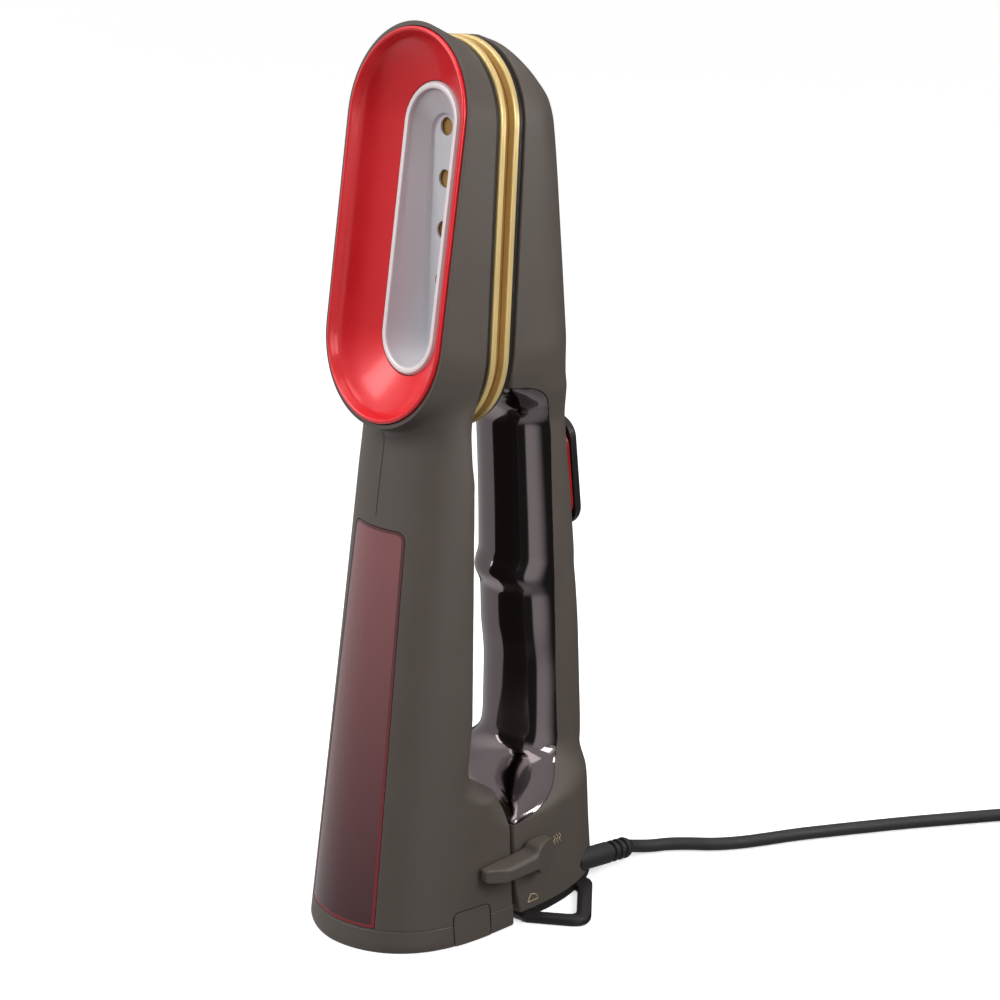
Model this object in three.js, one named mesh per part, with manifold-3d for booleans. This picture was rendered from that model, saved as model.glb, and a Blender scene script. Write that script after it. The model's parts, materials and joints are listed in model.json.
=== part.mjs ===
// A two-in-one garment steamer and fabric press.
//
// The steam half carries the water tank, the pump, the boiler and the steam nozzle.
// The handle half carries the grip, the trigger, the cord and the second press plate.
// Both halves stand on the floor, meet at the split plane y = 0 and turn about a hinge pin near the base.
// Millimetres, +Z up, +Y to the back, the mode lever on the +X side, the origin on the floor at the split.

import * as THREE from 'three';
import Module from 'manifold-3d';
import { mergeVertices } from 'three/addons/utils/BufferGeometryUtils.js';

const wasm = await Module();
wasm.setup();

// ---------------------------------------------------------------- driving dimensions

const WALL = 2.4;                 // moulded housing wall
const GAP = 0.3;                  // clearance between neighbouring pieces
const BASE_HALF_WIDTH = 39.3;     // of the footprint, at the floor
const BASE_TAPER = 0.0505;        // half width lost for each millimetre of height
const FRONT_DEPTH = 60.3;         // split plane to the front of the footprint
const FRONT_LEAN = 0.1615;        // depth lost for each millimetre of height
const SIDE_POWER = 1.85;          // plan outline of the steam half: power across
const DEPTH_POWER = 3.1;          // and power along its depth
const SEAM_Z = 8.9;               // top of the steam half's base cap
const BASE_PLATE_H = 4;           // black plate under the handle half
const NECK_TOP_Z = 212;           // where the steam half's body ends inside its head

const HINGE = { y: 0, z: 22, radius: 2, halfLength: 26 };
// the steam half's bottom of the finger gap
const SADDLE = { side: 41.5, middle: 54, sideEnd: 70, middleEnd: 79 };

const PRESS = { y: 2.35, z: 264, tilt: 3.4, halfWidth: 31, halfLength: 71.3 };
const FACE = { y: -22.9, z: 268.9, tilt: 9.04, halfWidth: 33.8, halfLength: 72.4 };
const LIP = { halfWidth: 32.1, halfLength: 70.6, proud: 1.2 };
const SLOT = { halfWidth: 15.2, halfLength: 52.8, depth: 11.8, rim: 3, floorHalfWidth: 6.4 };
// the outside of the nozzle's floor, measured from the split of the press plates
const NOZZLE_FLOOR_N = -2.1;
const STEAM_HOLES = { count: 5, pitch: 18.6, shift: 1.6, radius: 3.3 };
const RIM_NEAR = 1.8;             // press plate rim, distance from the split plane to its near side
const RIM_FAR = 4.4;              // and to its far side
const HOUSING_N = 6.7;            // distance from the split plane to each head housing

const WINDOW = { bottom: 9.6, top: 160, halfWidthBase: 19.2, narrowing: 0.031, corner: 4 };
const DOOR = { yFront: -28.4, yBack: -12.2, top: 13.6, corner: 3.5, wall: 1.6, gap: 0.45 };
const LEVER = {
  y: 12.5, z: 27.6, inner: 39.2, outer: 47.4, noseY: -17, bottom: 24.5, top: 29.8, hubRadius: 6.2,
};
const TRIGGER = { z: 164, y: 55.6, lean: 6.1, halfWidth: 7.4, halfLength: 21, capProud: 7, travel: 2.5 };
const LOOP = { rootX: 24, reachX: 58.8, frontY: 3.4, backY: 41.8, shoulder: 2.4, band: 5.9, height: 3.8 };
const RELIEF = { x: 28.5, wallY: 50, z: 8, endY: 72.4, endZ: 5.6 };
const CORD_RADIUS = 2.7;
const COIL = { x: 164.8, y: 232.8, columns: 4, layers: 3, innerTurn: 22, pitch: 5.5 };
const PLUG = {
  length: 34, width: 21, height: 15, bladeLength: 17, bladeWidth: 6.3, bladeThick: 1.5, bladePitch: 12.7,
};

// ---------------------------------------------------------------- materials

const material = (color, roughness, metalness, opacity = 1) => new THREE.MeshStandardMaterial({
  color, roughness, metalness, opacity, transparent: opacity < 1,
});

const taupe = material(0x5f5651, 0.55, 0.1);
const blackPlastic = material(0x1c1a1a, 0.5, 0);
const redMetallic = material(0xc1282b, 0.3, 0.5);
const redPlastic = material(0x9c1f24, 0.4, 0);
const silver = material(0xb9b8bd, 0.35, 0.3);
const gold = material(0xe8cc8d, 0.3, 0.8);
const blackChrome = material(0x3a3438, 0.08, 1);
const burgundy = material(0x6e2a33, 0.15, 0, 0.6);
const clearTank = material(0x8c5a60, 0.2, 0, 0.5);
const aluminium = material(0xa9abad, 0.4, 0.9);
const steel = material(0x9a9b9e, 0.3, 1);
const silicone = material(0xd8d4cc, 0.7, 0);
const circuitGreen = material(0x2f5a3a, 0.6, 0);
const rubber = material(0x242324, 0.85, 0);
const copper = material(0xb5713f, 0.35, 0.9);

// ---------------------------------------------------------------- solids

/** A three.js geometry becomes a solid that can be joined and cut. */
function solid(geometry, matrix = null) {
  const plain = geometry.clone();
  for (const attribute of Object.keys(plain.attributes)) {
    if (attribute !== 'position') plain.deleteAttribute(attribute);
  }
  if (matrix) plain.applyMatrix4(matrix);
  const merged = mergeVertices(plain, 1e-4);
  const index = Uint32Array.from(merged.index.array);
  return new wasm.Manifold(new wasm.Mesh({
    numProp: 3,
    vertProperties: Float32Array.from(merged.attributes.position.array),
    triVerts: index,
  }));
}

/** A solid goes back to a three.js geometry. */
function geometryOf(body) {
  const mesh = body.getMesh();
  const geometry = new THREE.BufferGeometry();
  geometry.setAttribute('position', new THREE.BufferAttribute(Float32Array.from(mesh.vertProperties), 3));
  geometry.setIndex(new THREE.BufferAttribute(Uint32Array.from(mesh.triVerts), 1));
  return geometry;
}

/** Turns the faces of a closed geometry outwards. */
function facingOut(geometry) {
  const p = geometry.attributes.position;
  const index = geometry.index.array;
  const [a, b, c] = [new THREE.Vector3(), new THREE.Vector3(), new THREE.Vector3()];
  let volume = 0;
  for (let i = 0; i < index.length; i += 3) {
    a.fromBufferAttribute(p, index[i]);
    b.fromBufferAttribute(p, index[i + 1]);
    c.fromBufferAttribute(p, index[i + 2]);
    volume += a.dot(b.cross(c));
  }
  if (volume < 0) index.reverse();
  return geometry;
}

/** Joins rings of equal length into a closed skin: capped at both ends, or closed on itself as a loop. */
function loft(rings, loop = false) {
  const count = rings[0].length;
  const positions = rings.flat().flatMap((point) => [point.x, point.y, point.z]);
  const triangles = [];
  const spans = loop ? rings.length : rings.length - 1;
  for (let i = 0; i < spans; i += 1) {
    const here = i * count;
    const next = ((i + 1) % rings.length) * count;
    for (let j = 0; j < count; j += 1) {
      const k = (j + 1) % count;
      triangles.push(here + j, here + k, next + j, next + j, here + k, next + k);
    }
  }
  if (!loop) {
    const ends = [[0, true], [rings.length - 1, false]];
    for (const [ring, flipped] of ends) {
      const middle = new THREE.Vector3();
      for (const point of rings[ring]) middle.addScaledVector(point, 1 / count);
      positions.push(middle.x, middle.y, middle.z);
      const hub = positions.length / 3 - 1;
      for (let j = 0; j < count; j += 1) {
        const from = ring * count + j;
        const to = ring * count + ((j + 1) % count);
        triangles.push(...(flipped ? [hub, to, from] : [hub, from, to]));
      }
    }
  }
  const geometry = new THREE.BufferGeometry();
  geometry.setAttribute('position', new THREE.Float32BufferAttribute(positions, 3));
  geometry.setIndex(triangles);
  return facingOut(geometry);
}

/** A box between two corners. */
function block(x0, y0, z0, x1, y1, z1) {
  const geometry = new THREE.BoxGeometry(x1 - x0, y1 - y0, z1 - z0);
  return geometry.translate((x0 + x1) / 2, (y0 + y1) / 2, (z0 + z1) / 2);
}

/** A cylinder with its centre at a point, along 'x', 'y' or 'z'. */
function rod(axis, radius, length, x, y, z, sides = 20) {
  const geometry = new THREE.CylinderGeometry(radius, radius, length, sides);
  if (axis === 'x') geometry.rotateZ(Math.PI / 2);
  if (axis === 'z') geometry.rotateX(Math.PI / 2);
  return geometry.translate(x, y, z);
}

/** A hollow cylinder along z, standing on z = 0. */
function tube(inner, outer, height, sides = 24) {
  const profile = [[inner, 0], [outer, 0], [outer, height], [inner, height], [inner, 0]];
  const points = profile.map(([r, z]) => new THREE.Vector2(r, z));
  return facingOut(mergedPlain(new THREE.LatheGeometry(points, sides).rotateX(Math.PI / 2)));
}

/** Drops normals and texture places, and merges equal points. */
function mergedPlain(geometry) {
  const plain = geometry.clone();
  plain.deleteAttribute('normal');
  plain.deleteAttribute('uv');
  return mergeVertices(plain, 1e-4);
}

/** A side view outline in (y, z), pushed through the whole width as a cutter. */
function sideCutter(points, halfWidth = 60) {
  const shape = new THREE.Shape(points.map(([y, z]) => new THREE.Vector2(y, z)));
  const geometry = new THREE.ExtrudeGeometry(shape, { depth: 2 * halfWidth, bevelEnabled: false });
  const axes = new THREE.Matrix4().makeBasis(
    new THREE.Vector3(0, 1, 0), new THREE.Vector3(0, 0, 1), new THREE.Vector3(1, 0, 0),
  );
  return geometry.applyMatrix4(axes).translate(-halfWidth, 0, 0);
}

/** A round tube along points, with its own solid ends. */
function pipe(points, radius, sides, steps) {
  const curve = new THREE.CatmullRomCurve3(points.map((p) => new THREE.Vector3(...p)), false, 'centripetal');
  const circle = new THREE.Shape();
  circle.absarc(0, 0, radius, 0, 2 * Math.PI);
  return new THREE.ExtrudeGeometry(circle, {
    steps, extrudePath: curve, curveSegments: Math.floor(sides / 2), bevelEnabled: false,
  });
}

/** Smooth values between stations, never past them (monotone cubic). */
function smoothTable(stations, key) {
  const xs = stations.map((station) => station.z);
  const ys = stations.map((station) => station[key]);
  const slopes = xs.slice(1).map((x, i) => (ys[i + 1] - ys[i]) / (x - xs[i]));
  const tangents = ys.map((_, i) => {
    if (i === 0) return slopes[0];
    if (i === ys.length - 1) return slopes[i - 1];
    if (slopes[i - 1] * slopes[i] <= 0) return 0;
    return 2 / (1 / slopes[i - 1] + 1 / slopes[i]);
  });
  return (x) => {
    if (x <= xs[0]) return ys[0];
    if (x >= xs[xs.length - 1]) return ys[ys.length - 1];
    const i = xs.findIndex((value) => value > x) - 1;
    const span = xs[i + 1] - xs[i];
    const t = (x - xs[i]) / span;
    const [t2, t3] = [t * t, t * t * t];
    return (2 * t3 - 3 * t2 + 1) * ys[i] + (t3 - 2 * t2 + t) * span * tangents[i]
      + (3 * t2 - 2 * t3) * ys[i + 1] + (t3 - t2) * span * tangents[i + 1];
  };
}

// ---------------------------------------------------------------- ovals in the leaning head

const radians = THREE.MathUtils.degToRad;

/** Places a point of a leaning oval's own frame: x across, u up along it, n towards the back. */
function leaning(frame, x, u, n) {
  const t = radians(frame.tilt);
  return new THREE.Vector3(
    x,
    frame.y + u * Math.sin(t) + n * Math.cos(t),
    frame.z + u * Math.cos(t) - n * Math.sin(t),
  );
}

/** A stadium outline: straight sides and round ends. */
function stadium(halfWidth, halfLength, ends = 14) {
  const points = [];
  const straight = halfLength - halfWidth;
  for (const side of [1, -1]) {
    for (let i = 0; i <= ends; i += 1) {
      const angle = (i / ends) * Math.PI;
      points.push([side * halfWidth * Math.cos(angle), side * (straight + halfWidth * Math.sin(angle))]);
    }
  }
  return points;
}

/** One ring of a leaning oval, at distance n behind the oval's plane. */
function ovalRing(frame, halfWidth, halfLength, n, ends = 14) {
  return stadium(halfWidth, halfLength, ends).map(([x, u]) => leaning(frame, x, u, n));
}

/** A solid oval disc, or with hole > 0 an oval ring, from n0 to n1. */
function ovalPlate(frame, halfWidth, halfLength, n0, n1, hole = 0, ends = 14) {
  const outer = [n0, n1].map((n) => ovalRing(frame, halfWidth, halfLength, n, ends));
  if (hole === 0) return loft(outer);
  const inner = [n1, n0].map((n) => ovalRing(frame, halfWidth - hole, halfLength - hole, n, ends));
  return loft([...outer, ...inner], true);
}

/** An oval ring whose section is a closed list of [halfWidth, halfLength, n]. */
function ovalSweep(frame, section, ends = 14) {
  return loft(section.map(([a, b, n]) => ovalRing(frame, a, b, n, ends)), true);
}

// ---------------------------------------------------------------- the steam half's outline

const pressSlope = Math.tan(radians(PRESS.tilt));

/** The plane of a head housing's edge at height z, on the side of the split given by side. */
function headPlaneY(z, side) {
  return PRESS.y + side * HOUSING_N / Math.cos(radians(PRESS.tilt)) + (z - PRESS.z) * pressSlope;
}

/** A quarter oval from the split face (at from) up and forward to the flat back (at to). */
function saddleArc(z, from, to) {
  if (z <= from) return -GAP / 2;
  const flat = headPlaneY(Math.max(z, SADDLE.sideEnd), -1);
  const t = Math.max(0, (to - z) / (to - from));
  return flat * Math.sqrt(1 - t * t);
}

/** How far the rounding of the back corners reaches in from each side at height z. */
const backRounding = smoothTable([
  { z: 0, reach: 0.8 }, { z: 41.5, reach: 1 }, { z: 44, reach: 2.5 }, { z: 48, reach: 6 }, { z: 54, reach: 13 },
  { z: 60, reach: 14 }, { z: 66, reach: 11 }, { z: 74, reach: 6 }, { z: 90, reach: 3 }, { z: 212, reach: 3 },
], 'reach');

/** One level ring of the steam half, drawn in by inset. */
function steamRing(z, inset = 0, points = 14) {
  const halfWidth = BASE_HALF_WIDTH - BASE_TAPER * z - inset;
  const depth = FRONT_DEPTH - FRONT_LEAN * z - inset;
  const back = saddleArc(z, SADDLE.middle, SADDLE.middleEnd) - inset;
  const across = backRounding(z);
  const sideArc = saddleArc(z, SADDLE.side, SADDLE.sideEnd);
  const along = back + inset - Math.min(sideArc, back + inset - across * 0.8);
  const start = Math.asin(Math.min(1, (-(back - along) / depth) ** (DEPTH_POWER / 2)));
  const ring = [];
  for (let i = 0; i <= points; i += 1) {
    const angle = start + (i / points) * (Math.PI - 2 * start);
    const x = halfWidth * Math.sign(Math.cos(angle)) * Math.abs(Math.cos(angle)) ** (2 / SIDE_POWER);
    ring.push(new THREE.Vector3(x, -depth * Math.sin(angle) ** (2 / DEPTH_POWER), z));
  }
  const edge = ring[0].x;
  for (const side of [-1, 1]) {
    for (let i = 1; i <= 3; i += 1) {
      const angle = ((side < 0 ? i : 4 - i) / 4) * (Math.PI / 2);
      const x = edge - across + across * Math.cos(angle);
      ring.push(new THREE.Vector3(side * x, back - along + along * Math.sin(angle), z));
    }
  }
  return ring;
}

const steamHeights = (from, to) => {
  const marks = [41.5, 44, 48, 51.5, 54.5, 58, 64, 70, 79, 110, 160];
  return [from, ...marks.filter((z) => z > from + 1 && z < to - 1), to];
};

/** The body of the steam half between two heights; points sets how fine its outline is. */
function steamBody(from, to, inset = 0, points = 14) {
  return solid(loft(steamHeights(from, to).map((z) => steamRing(z, inset, points))));
}

/** The same outline as one straight taper, for the pieces that stay clear of the saddle. */
function steamTaper(from, to, inset = 0, points = 14) {
  return solid(loft([from, to].map((z) => steamRing(z, inset, points))));
}

const REAR_FRAME = {
  y: PRESS.y - HOUSING_N, z: PRESS.z, tilt: PRESS.tilt,
  halfWidth: PRESS.halfWidth, halfLength: PRESS.halfLength,
};

/** Rings of the steam head, from its face (t = 0) to its press side (t = 1), and a little past both. */
function steamHead(inset, t0, t1) {
  const steps = 2;
  const rings = [];
  for (let i = 0; i <= steps; i += 1) {
    const t = t0 + (i / steps) * (t1 - t0);
    const mix = (key) => THREE.MathUtils.lerp(FACE[key], REAR_FRAME[key], t);
    const frame = { y: mix('y'), z: mix('z'), tilt: mix('tilt') };
    rings.push(ovalRing(frame, mix('halfWidth') - inset, mix('halfLength') - inset, 0));
  }
  return solid(loft(rings));
}

/** The tank window's outline, pushed from the front as a cutter. */
function windowCutter(grow) {
  const half = (z) => WINDOW.halfWidthBase - WINDOW.narrowing * z + grow;
  const [z0, z1] = [WINDOW.bottom - grow, WINDOW.top + grow];
  const r = WINDOW.corner + grow;
  const shape = new THREE.Shape();
  shape.moveTo(-half(z0), z0);
  shape.lineTo(half(z0), z0);
  shape.lineTo(half(z1), z1 - r);
  shape.absarc(half(z1) - r, z1 - r, r, 0, Math.PI / 2);
  shape.lineTo(-half(z1) + r, z1);
  shape.absarc(-half(z1) + r, z1 - r, r, Math.PI / 2, Math.PI);
  const geometry = new THREE.ExtrudeGeometry(shape, { depth: 60, bevelEnabled: false, curveSegments: 4 });
  return solid(geometry.rotateX(Math.PI / 2).translate(0, -20, 0));
}

/** The fill door's outline, pushed from the +X side as a cutter. */
function doorCutter(grow) {
  const [y0, y1] = [DOOR.yFront - grow, DOOR.yBack + grow];
  const top = DOOR.top + grow;
  const r = DOOR.corner;
  const arc = (cy, from, to) => Array.from({ length: 5 }, (_, i) => {
    const angle = THREE.MathUtils.lerp(from, to, i / 4);
    return [cy + r * Math.cos(angle), top - r + r * Math.sin(angle)];
  });
  const outline = [[y0, -1], [y1, -1], ...arc(y1 - r, 0, Math.PI / 2), ...arc(y0 + r, Math.PI / 2, Math.PI)];
  return solid(sideCutter(outline, 20).translate(42, 0, 0));
}

// ---------------------------------------------------------------- the handle half's outline

// half: half width, front and back: ends of the section in y, wide: where between them it is widest,
// blunt: how square its front is (2 is round)
const HANDLE_STATIONS = [
  { z: 0, half: 39.3, front: 3.1, back: 64.8, wide: 0.08, blunt: 9 },
  { z: 22, half: 38.2, front: 0.15, back: 63.8, wide: 0.08, blunt: 9 },
  { z: 41.5, half: 37.2, front: 0.15, back: 62.8, wide: 0.1, blunt: 8 },
  { z: 45, half: 34.5, front: 0.3, back: 62.6, wide: 0.22, blunt: 4 },
  { z: 48.5, half: 30, front: 0.8, back: 62.4, wide: 0.34, blunt: 2.5 },
  { z: 51.5, half: 25.5, front: 3.5, back: 62.2, wide: 0.44, blunt: 1.85 },
  { z: 54, half: 23, front: 11.5, back: 62, wide: 0.48, blunt: 1.8 },
  { z: 56.5, half: 21.6, front: 20.5, back: 61.9, wide: 0.5, blunt: 1.95 },
  { z: 59.5, half: 21, front: 24.3, back: 61.8, wide: 0.5, blunt: 2.1 },
  { z: 64, half: 20.8, front: 25.5, back: 61.7, wide: 0.5, blunt: 2.1 },
  { z: 77, half: 20.5, front: 26, back: 61.2, wide: 0.5, blunt: 2.1 },
  { z: 90, half: 20.2, front: 26.2, back: 60.7, wide: 0.5, blunt: 2.1 },
  { z: 107, half: 20, front: 24.6, back: 60, wide: 0.5, blunt: 2.1 },
  { z: 121, half: 19.6, front: 24, back: 59, wide: 0.5, blunt: 2.1 },
  { z: 129.5, half: 19.4, front: 20.6, back: 58.5, wide: 0.5, blunt: 2.1 },
  { z: 137, half: 19.2, front: 23, back: 58, wide: 0.5, blunt: 2.1 },
  { z: 190, half: 18, front: 21.6, back: 52.8, wide: 0.5, blunt: 2.1 },
  { z: 197, half: 20, front: 18.5, back: 52.2, wide: 0.48, blunt: 2.2 },
  { z: 204, half: 24.5, front: 12, back: 51.6, wide: 0.36, blunt: 3 },
  { z: 210, half: 27.6, front: 6.6, back: 51.1, wide: 0.2, blunt: 6 },
  { z: 216, half: 29.7, front: 6.2, back: 50.6, wide: 0.1, blunt: 10 },
  { z: 225, half: 31, front: 6.74, back: 49.7, wide: 0.08, blunt: 12 },
  { z: 264, half: 31, front: 9.06, back: 45.2, wide: 0.08, blunt: 12 },
  { z: 304, half: 31, front: 11.44, back: 39.4, wide: 0.08, blunt: 12 },
  { z: 312, half: 30, front: 11.9, back: 36.6, wide: 0.1, blunt: 12 },
  { z: 320, half: 26.6, front: 12.4, back: 30.6, wide: 0.1, blunt: 12 },
  { z: 327, half: 21, front: 12.8, back: 24, wide: 0.1, blunt: 10 },
  { z: 332, half: 13.6, front: 13.1, back: 18.4, wide: 0.1, blunt: 8 },
  { z: 334.6, half: 4, front: 13.3, back: 14.6, wide: 0.1, blunt: 4 },
];
const BACK_POWER = 2.3;
const handle = {};
for (const key of ['half', 'front', 'back', 'wide', 'blunt']) handle[key] = smoothTable(HANDLE_STATIONS, key);

/** One level ring of the handle half, drawn in by inset. */
function handleRing(z, inset = 0, points = 24) {
  const half = Math.max(handle.half(z) - inset, 0.8);
  const front = handle.front(z) + inset;
  const back = Math.max(handle.back(z) - inset, front + 0.8);
  const middle = front + (back - front) * handle.wide(z);
  const ring = [];
  for (let i = 0; i < points; i += 1) {
    const angle = ((i + 0.5) / points) * 2 * Math.PI;
    const towardsBack = Math.sin(angle) > 0;
    const power = towardsBack ? BACK_POWER : handle.blunt(z);
    const depth = towardsBack ? back - middle : middle - front;
    ring.push(new THREE.Vector3(
      half * Math.sign(Math.cos(angle)) * Math.abs(Math.cos(angle)) ** (2 / power),
      middle + depth * Math.sign(Math.sin(angle)) * Math.abs(Math.sin(angle)) ** (2 / power),
      z,
    ));
  }
  return ring;
}

const handleHeights = (from, to) => {
  const marks = HANDLE_STATIONS.map((station) => station.z);
  return [from, ...marks.filter((z) => z > from + 0.8 && z < to - 0.8), to];
};

/** The handle half's solid between two heights. */
function handleBody(from, to, inset = 0, points = 24) {
  return solid(loft(handleHeights(from, to).map((z) => handleRing(z, inset, points))));
}

/** The side view line where the chrome grip insert meets the rear shell. */
const GRIP_RIM = {
  bottomY: -6, bottomZ: 41, lowY: 39.5, lowZ: 62, highY: 37, highZ: 184, topY: -4, topZ: 210,
};

/** The region in front of the grip's rim, pushed through the width as a cutter. */
function gripRegion(grow) {
  const rim = GRIP_RIM;
  const points = [[-30, rim.bottomZ - grow], [rim.bottomY, rim.bottomZ - grow]];
  for (let i = 1; i <= 10; i += 1) {
    const angle = (i / 10) * (Math.PI / 2);
    points.push([
      rim.bottomY + (rim.lowY - rim.bottomY + grow) * Math.sin(angle),
      rim.lowZ - (rim.lowZ - rim.bottomZ + grow) * Math.cos(angle),
    ]);
  }
  for (let i = 0; i <= 8; i += 1) {
    const angle = (i / 8) * (Math.PI / 2);
    points.push([
      rim.topY + (rim.highY - rim.topY + grow) * Math.cos(angle) ** 0.55,
      rim.highZ + (rim.topZ - rim.highZ + grow) * Math.sin(angle),
    ]);
  }
  points.push([-30, rim.topZ + grow]);
  return solid(sideCutter(points));
}

// ---------------------------------------------------------------- the assembly

const group = new THREE.Group();
const steamHalf = new THREE.Group();
const handleHalf = new THREE.Group();
group.add(steamHalf, handleHalf);

/** Adds one named sub-part to a half. */
function add(half, name, shape, look) {
  const geometry = shape.isBufferGeometry ? shape : geometryOf(shape);
  const mesh = new THREE.Mesh(geometry, look);
  mesh.name = name;
  half.add(mesh);
}

/** Subtracts every cutter from a body. */
const cut = (body, ...cutters) => cutters.reduce((rest, cutter) => rest.subtract(cutter), body);

/** The same oval frame, moved along its own length. */
function shifted(frame, along) {
  const t = radians(frame.tilt);
  return { ...frame, y: frame.y + along * Math.sin(t), z: frame.z + along * Math.cos(t) };
}

// ---- steam half: housing and base cap

const HINGE_OPENING = { x: 28, back: 13, front: 8, top: 34 };
const doorOpening = doorCutter(DOOR.gap);

function steamHousing() {
  const outer = steamBody(SEAM_Z + 0.2, NECK_TOP_Z).add(steamHead(0, 0, 1));
  const inner = steamBody(SEAM_Z - 2, NECK_TOP_Z - 4, WALL, 10).add(steamHead(WALL, -0.2, 1.3));
  const lipSeat = solid(ovalPlate(FACE, LIP.halfWidth + 0.15, LIP.halfLength + 0.15, -5, 3.7));
  const open = HINGE_OPENING;
  const hingeOpening = solid(block(-open.x, -open.back, 10, open.x, 4, open.top));
  return cut(outer, inner, lipSeat, windowCutter(GAP), hingeOpening, doorOpening);
}
add(steamHalf, 'steam_housing', steamHousing(), taupe);

const FOOT = { radius: 5, height: 1.2, x: 22, steamY: -30, handleY: 42 };
const SCREW = { head: 2.8, headHeight: 1.6, shank: 1.4, x: 14, steamY: -44, handleY: 52 };

/** Pockets under a base for its two feet and two screws. */
function underPockets(footY, screwY) {
  return [-1, 1].flatMap((side) => [
    solid(rod('z', FOOT.radius + GAP, 3, side * FOOT.x, footY, 0, 12)),
    solid(rod('z', SCREW.head + GAP, 3.2, side * SCREW.x, screwY, 0.7, 10)),
    solid(rod('z', SCREW.shank + GAP, 20, side * SCREW.x, screwY, 5, 8)),
  ]);
}

function steamBaseCap() {
  const outer = solid(loft([0, SEAM_Z].map((z) => steamRing(z, 0, 16))));
  const inner = solid(loft([2.6, SEAM_Z + 2].map((z) => steamRing(z, WALL, 16))));
  const screwPosts = [-1, 1].map((side) => solid(rod('z', 4.4, 3.2, side * SCREW.x, SCREW.steamY, 1.6, 10)));
  const tongueNotch = solid(block(-13.5, -10, -2, 13.5, 2, 12));
  const body = screwPosts.reduce((sum, post) => sum.add(post), outer.subtract(inner));
  return cut(body, tongueNotch, doorOpening, ...underPockets(FOOT.steamY, SCREW.steamY));
}
add(steamHalf, 'steam_base_cap', steamBaseCap(), taupe);

/** The feet and screws under one half, by side. */
function addUnderParts(half, prefix, footY, screwY, screwTop) {
  for (const [hand, side] of [['left', -1], ['right', 1]]) {
    const foot = rod('z', FOOT.radius, FOOT.height, side * FOOT.x, footY, FOOT.height / 2, 12);
    add(half, `${prefix}_foot_${hand}`, foot, rubber);
    const profile = [[0, 0], [SCREW.head, 0], [SCREW.head, SCREW.headHeight], [SCREW.shank, SCREW.headHeight],
      [SCREW.shank, screwTop], [0, screwTop]].map(([r, z]) => new THREE.Vector2(r, z));
    const screw = mergedPlain(new THREE.LatheGeometry(profile, 8).rotateX(Math.PI / 2));
    add(half, `${prefix}_screw_${hand}`, facingOut(screw.translate(side * SCREW.x, screwY, 0.4)), steel);
  }
}
addUnderParts(steamHalf, 'steam', FOOT.steamY, SCREW.steamY, 2.6);

// ---- steam half: water tank, its window and its lid

const TANK = {
  bottom: 3.2, top: 146, clearance: 3.2, wall: 1.6, backY: -31, backSlope: 0.075, portZ: 22, neckX: 22,
};
const NECK = { x: TANK.neckX, y: -20.4, z: 8, outer: 4.6, inner: 3.2, mouthX: 32.4 };
const PUMP = { x: -8, y: -18.5, radius: 6.2, bottom: 16.5, top: 40.5 };

/** Everything in front of the tank's sloping back. */
function tankRegion(inset) {
  const backAt = (z) => TANK.backY + Math.max(0, z - 16) * TANK.backSlope - inset;
  const [z0, z1] = [TANK.bottom - 5, TANK.top + 10];
  return solid(sideCutter([[-80, z0], [backAt(z0), z0], [backAt(16), 16], [backAt(z1), z1], [-80, z1]]));
}

function waterTank() {
  const outer = steamTaper(TANK.bottom, TANK.top, TANK.clearance).intersect(tankRegion(0));
  const inner = steamTaper(TANK.bottom + TANK.wall, TANK.top + 4, TANK.clearance + TANK.wall)
    .intersect(tankRegion(TANK.wall));
  const inlet = solid(rod('y', NECK.inner, 10, NECK.x, TANK.backY, NECK.z, 12));
  const outlet = solid(rod('y', 1.4, 8, PUMP.x, TANK.backY, TANK.portZ, 12));
  const screwRoom = [-1, 1].map((side) => solid(rod('z', 4.9, 8, side * SCREW.x, SCREW.steamY, 0, 12)));
  return cut(outer, inner, inlet, outlet, ...screwRoom);
}
add(steamHalf, 'water_tank', waterTank(), clearTank);

const lidPlate = steamTaper(TANK.top + GAP, TANK.top + GAP + 2, TANK.clearance + 0.4)
  .intersect(tankRegion(0));
const lidVent = solid(rod('z', 1.5, 20, 0, -30, TANK.top, 12));
add(steamHalf, 'tank_lid', lidPlate.subtract(lidVent), clearTank);

const windowShell = steamTaper(SEAM_Z + 0.7, WINDOW.top + 4, 0.1, 20)
  .subtract(steamTaper(SEAM_Z - 2, WINDOW.top + 8, 2.2, 20));
add(steamHalf, 'tank_window', windowShell.intersect(windowCutter(0)), burgundy);

function fillerNeck() {
  const path = (from, to) => [
    [from, NECK.y, NECK.z], [NECK.x + 4, NECK.y, NECK.z], [NECK.x + 1, NECK.y - 1.2, NECK.z],
    [NECK.x, NECK.y - 4, NECK.z], [NECK.x, to, NECK.z]];
  const outer = solid(pipe(path(NECK.mouthX, TANK.backY + GAP), NECK.outer, 12, 7));
  const bore = solid(pipe(path(NECK.mouthX + 3, TANK.backY - 3), NECK.inner, 12, 7));
  return outer.subtract(bore);
}
add(steamHalf, 'filler_neck', fillerNeck(), blackPlastic);

// ---- steam half: pump and water lines

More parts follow.
